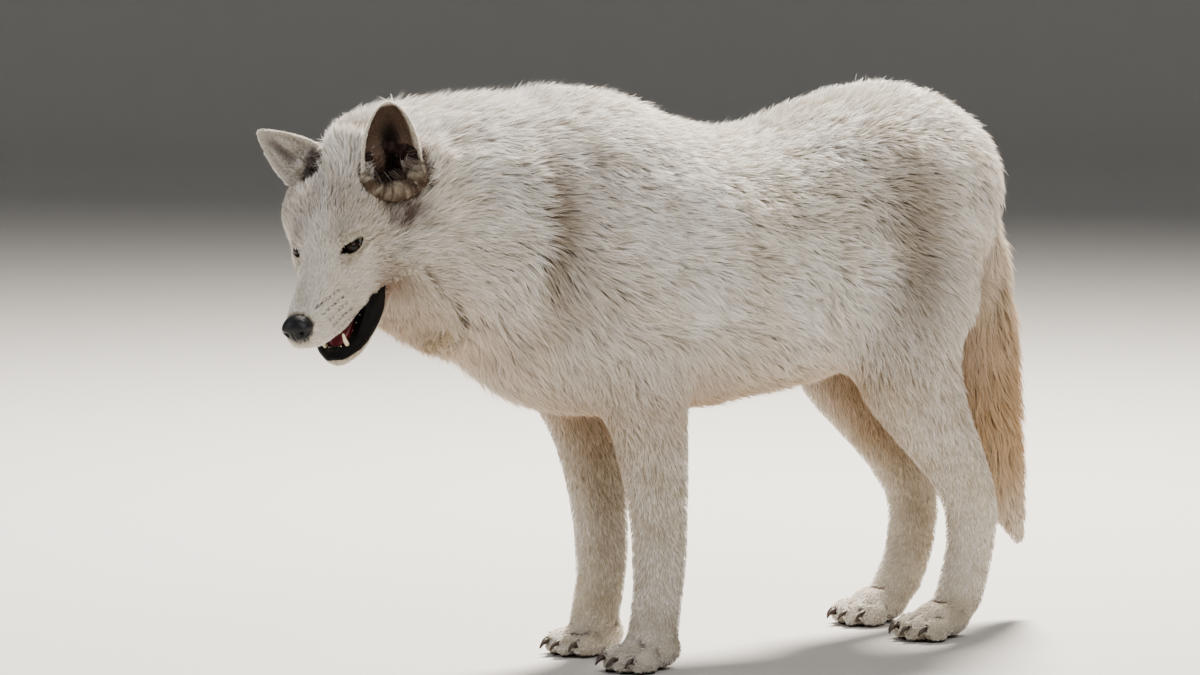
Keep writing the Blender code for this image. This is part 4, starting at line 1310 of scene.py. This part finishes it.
# Small teeth and whiskers, scattered by one arrangement of nodes
def scatterTree(name, makeShape, material):
    # Puts a shape on every point, its Z along the point's aim and its size from the point's length
    tree = bpy.data.node_groups.new(name, "GeometryNodeTree")
    tree.interface.new_socket("Geometry", in_out="INPUT", socket_type="NodeSocketGeometry")
    size = tree.interface.new_socket("Size", in_out="INPUT", socket_type="NodeSocketFloat")
    tree.interface.new_socket("Geometry", in_out="OUTPUT", socket_type="NodeSocketGeometry")
    given = addNode(tree, "NodeGroupInput")
    aim = addNode(tree, "GeometryNodeInputNamedAttribute", {"Name": "aim"}, data_type="FLOAT_VECTOR")
    long = addNode(tree, "GeometryNodeInputNamedAttribute", {"Name": "long"}, data_type="FLOAT")
    turn = addNode(tree, "FunctionNodeAlignRotationToVector", {"Vector": aim.outputs["Attribute"]}, axis="Z")
    scale = addNode(tree, "ShaderNodeMath", {0: long.outputs["Attribute"], 1: given.outputs["Size"]},
                    operation="MULTIPLY")
    roots = addNode(tree, "GeometryNodeMeshToPoints", {"Mesh": given.outputs["Geometry"]})
    many = addNode(tree, "GeometryNodeInstanceOnPoints", {
        "Points": roots.outputs[0], "Instance": makeShape(tree),
        "Rotation": turn.outputs["Rotation"], "Scale": scale.outputs[0]})
    real = addNode(tree, "GeometryNodeRealizeInstances", {"Geometry": many.outputs[0]})
    smooth = addNode(tree, "GeometryNodeSetShadeSmooth", {0: real.outputs[0]})
    dressed = addNode(tree, "GeometryNodeSetMaterial", {"Geometry": smooth.outputs[0], "Material": material})
    addNode(tree, "NodeGroupOutput", {"Geometry": dressed.outputs[0]})
    return tree, size.identifier


def whiskerShape(tree):
    bow = addNode(tree, "GeometryNodeCurveQuadraticBezier", {
        "Resolution": 9, "Start": (0, 0, 0), "Middle": (0.02, 0, 0.55), "End": (0.22, 0, 0.98)})
    along = addNode(tree, "GeometryNodeSplineParameter")
    thin = addNode(tree, "ShaderNodeMapRange", {
        "Value": along.outputs["Factor"], "To Min": 1.0, "To Max": 0.15})
    tapered = addNode(tree, "GeometryNodeSetCurveRadius", {
        "Curve": bow.outputs[0], "Radius": thin.outputs[0]})
    ring = addNode(tree, "GeometryNodeCurvePrimitiveCircle", {"Resolution": 5, "Radius": 0.0055})
    tube = addNode(tree, "GeometryNodeCurveToMesh", {
        "Curve": tapered.outputs[0], "Profile Curve": ring.outputs[0], "Fill Caps": True})
    return tube.outputs[0]


def toothShape(tree):
    ball = addNode(tree, "GeometryNodeMeshUVSphere", {"Segments": 14, "Rings": 10, "Radius": 1.0})
    peg = addNode(tree, "GeometryNodeTransform", {"Geometry": ball.outputs[0], "Scale": (0.38, 0.38, 1.0)})
    return peg.outputs[0]


def scatter(name, roots, aims, lengths, makeShape, material, slot):
    mesh = bpy.data.meshes.new(name)
    mesh.from_pydata([tuple(root) for root in roots], [], [])
    aim = mesh.attributes.new("aim", "FLOAT_VECTOR", "POINT")
    aim.data.foreach_set("vector", np.array(aims, np.float32).ravel())
    mesh.attributes.new("long", "FLOAT", "POINT").data.foreach_set("value", np.array(lengths, np.float32))
    piece = newObject(name, mesh)
    tree, size = scatterTree(name, makeShape, material)
    placed = piece.modifiers.new("scatter", "NODES")
    placed.node_group = tree
    placed[size] = 1.0
    settled(piece)
    finishPiece(piece, slot)


# Whisker: a stiff pale hair, glossy along its length
whiskerLook = {
    "seed": 5, "length": (20 * mm, 36 * mm), "browLength": 24 * mm, "lowest": -0.060,
    "way": {"left": (-0.65, 0.70, 0.05), "right": (0.05, -0.75, -0.45)},
    "front": 0.112, "span": 0.06, "wide": 0.028,      # where the muzzle's whiskers start, reach back and sit
    "brow": ((-0.004, 0.034, 0.018), (0.006, 0.030, 0.018), (0.016, 0.026, 0.018)),
    "cheek": (-0.055, 0.06, -0.045),
    "colour": "#e9e2d4", "other": "#b9a98c", "share": 0.4, "grain": 0.06 / mm,
    "relief": 0.1 * mm, "roughness": 0.35, "wet": 0.0,
}


def makeWhiskers():
    rng = np.random.default_rng(whiskerLook["seed"])
    (short, long), brow = whiskerLook["length"], whiskerLook["browLength"]
    roots, aims, lengths = [], [], []

    def plant(place, way, length):
        start = head @ Vector(place)
        hit, normal = outerTree.find_nearest(start)[:2]
        aim = unit(unit(headDirection(way)) + rng.normal(0, 0.10, 3))
        roots.append(np.array(hit - 0.002 * normal))
        aims.append(aim)
        lengths.append(length * rng.uniform(0.8, 1.1))

    for side, sign in sides.items():
        for number, (ahead, up) in enumerate(whiskerSpots):
            if number % 2 == 0 and up > whiskerLook["lowest"]:
                back = (whiskerLook["front"] - ahead) / whiskerLook["span"]
                plant((ahead, sign * whiskerLook["wide"], up), whiskerLook["way"][side],
                      short + back * (long - short))
        for ahead, wide, up in whiskerLook["brow"]:
            plant((ahead, sign * wide, up), (0.1, 0.5 * sign, 0.85), brow)
        ahead, wide, up = whiskerLook["cheek"]
        plant((ahead, sign * wide, up), (-0.3, 0.9 * sign, -0.2), brow)
    material = plainMaterial("whisker", whiskerLook)
    scatter("whiskers", roots, aims, lengths, whiskerShape, material, "winter_coat")


smallTeeth = {
    "incisors": 6, "incisorPitch": 3.3 * mm, "bow": 18,      # bow: how the row curves back, for each metre
    "frontRows": (            # jaw, ahead, up, lean ahead, way the tooth points, half its height
        (jaw, 0.1205, -0.0200, 0.25, 1, 3.2 * mm), (head, 0.119, -0.070, 0.15, -1, 3.4 * mm)),
    "cheekTeeth": 5, "cheekPitch": 13 * mm, "taller": 0.4 * mm,      # taller: each tooth than the last
    "sideRows": (             # jaw, ahead, out, farther out for each tooth, up, way, half its height
        (jaw, 0.094, 0.0185, 0.0020, -0.0215, 1, 3.2 * mm),
        (head, 0.086, 0.0150, 0.0016, -0.066, -1, 3.6 * mm)),
}


def makeSmallTeeth():
    # Incisors between the canines, and the cheek teeth behind them, in both jaws
    roots, aims, lengths = [], [], []

    def plant(place, base, way, length):
        roots.append(np.array(base @ Vector(place)))
        aims.append(np.array(base.to_3x3() @ Vector(way)))
        lengths.append(length)

    for k in range(smallTeeth["incisors"]):
        across = (k - 2.5) * smallTeeth["incisorPitch"]
        for base, ahead, up, lean, way, tall in smallTeeth["frontRows"]:
            plant((ahead - smallTeeth["bow"] * across ** 2, across, up), base, (lean, 0, way), tall)
    for sign in sides.values():
        for k in range(smallTeeth["cheekTeeth"]):
            for base, ahead, out, farther, up, way, tall in smallTeeth["sideRows"]:
                plant((ahead - smallTeeth["cheekPitch"] * k, sign * (out + farther * k), up),
                      base, (0, 0, way), tall + smallTeeth["taller"] * k)
    scatter("smallTeeth", roots, aims, lengths, toothShape, toothEnamel, "tooth_enamel")


makeWhiskers()
makeSmallTeeth()
print("claws, teeth, tongue and whiskers made")


# Floor, light and camera
studio = {
    "floor": "#c9c6c1", "azimuth": 55, "elevation": 5, "distance": 6.5,
    "aim": (-0.072, -0.0508, 0.434), "lens": 143.3,
    "flatReach": 14.0, "wallReach": 17.0, "wallHeight": 13.0, "bendRings": 14, "around": 96,
    "sky": "#dfe4ea", "skyStrength": 0.24, "lightAim": (0, 0, 0.4), "lightDistance": 5,
    # azimuth, elevation, width in metres, watts, colour
    "lights": {
        "back light": (220, 58, 1.4, 1500, "#fff8ee"), "key light": (75, 40, 3.0, 140, "#ffffff"),
        "side light": (-20, 25, 2.5, 55, "#e2ebfb")},
}


def makeFloor():
    # A round floor that turns up into a wall far behind
    made, tree, shader = newMaterial("pale matte floor")
    feed(tree, shader, {"Base Color": (*linear(studio["floor"]), 1), "Roughness": 0.9})
    bend = np.linspace(0, 0.5 * math.pi, studio["bendRings"])
    turn = studio["wallReach"] - studio["flatReach"]
    reach = np.concatenate([[0.0001], studio["flatReach"] + turn * np.sin(bend), [studio["wallReach"]]])
    height = np.concatenate([[0], turn * (1 - np.cos(bend)), [studio["wallHeight"]]])
    around = np.linspace(0, 2 * math.pi, studio["around"], endpoint=False)
    points = np.stack([reach[:, None] * np.cos(around), reach[:, None] * np.sin(around),
                       height[:, None] + 0 * around], -1).reshape(-1, 3)
    mesh = meshFrom("floor", points, gridTriangles(len(reach), studio["around"]))
    mesh.shade_smooth()
    newObject("floor", mesh, made)


def placeRound(thing, azimuth, elevation, distance, aim):
    # Puts a light or a camera round its aim and turns it there
    a, e = math.radians(azimuth), math.radians(elevation)
    away = Vector((math.sin(a) * math.cos(e), -math.cos(a) * math.cos(e), math.sin(e)))
    thing.location = Vector(aim) + distance * away
    thing.rotation_euler = (-away).to_track_quat("-Z", "Y").to_euler()


def makeStudio():
    world = bpy.data.worlds.new("studio")
    bpy.context.scene.world = world
    world.use_nodes = True
    feed(world.node_tree, world.node_tree.nodes["Background"], {
        "Color": (*linear(studio["sky"]), 1), "Strength": studio["skyStrength"]})
    for name, (azimuth, elevation, size, watts, colour) in studio["lights"].items():
        data = bpy.data.lights.new(name, "AREA")
        data.shape = "DISK"
        data.size = size
        data.energy = watts
        data.color = linear(colour)
        placeRound(newObject(name, data), azimuth, elevation, studio["lightDistance"], studio["lightAim"])


def makeCamera():
    data = bpy.data.cameras.new("camera")
    data.lens = studio["lens"]
    data.clip_end = 100
    camera = newObject("camera", data)
    placeRound(camera, studio["azimuth"], studio["elevation"], studio["distance"], studio["aim"])
    bpy.context.scene.camera = camera


makeFloor()
makeStudio()
makeCamera()
print("floor, lights and camera set")
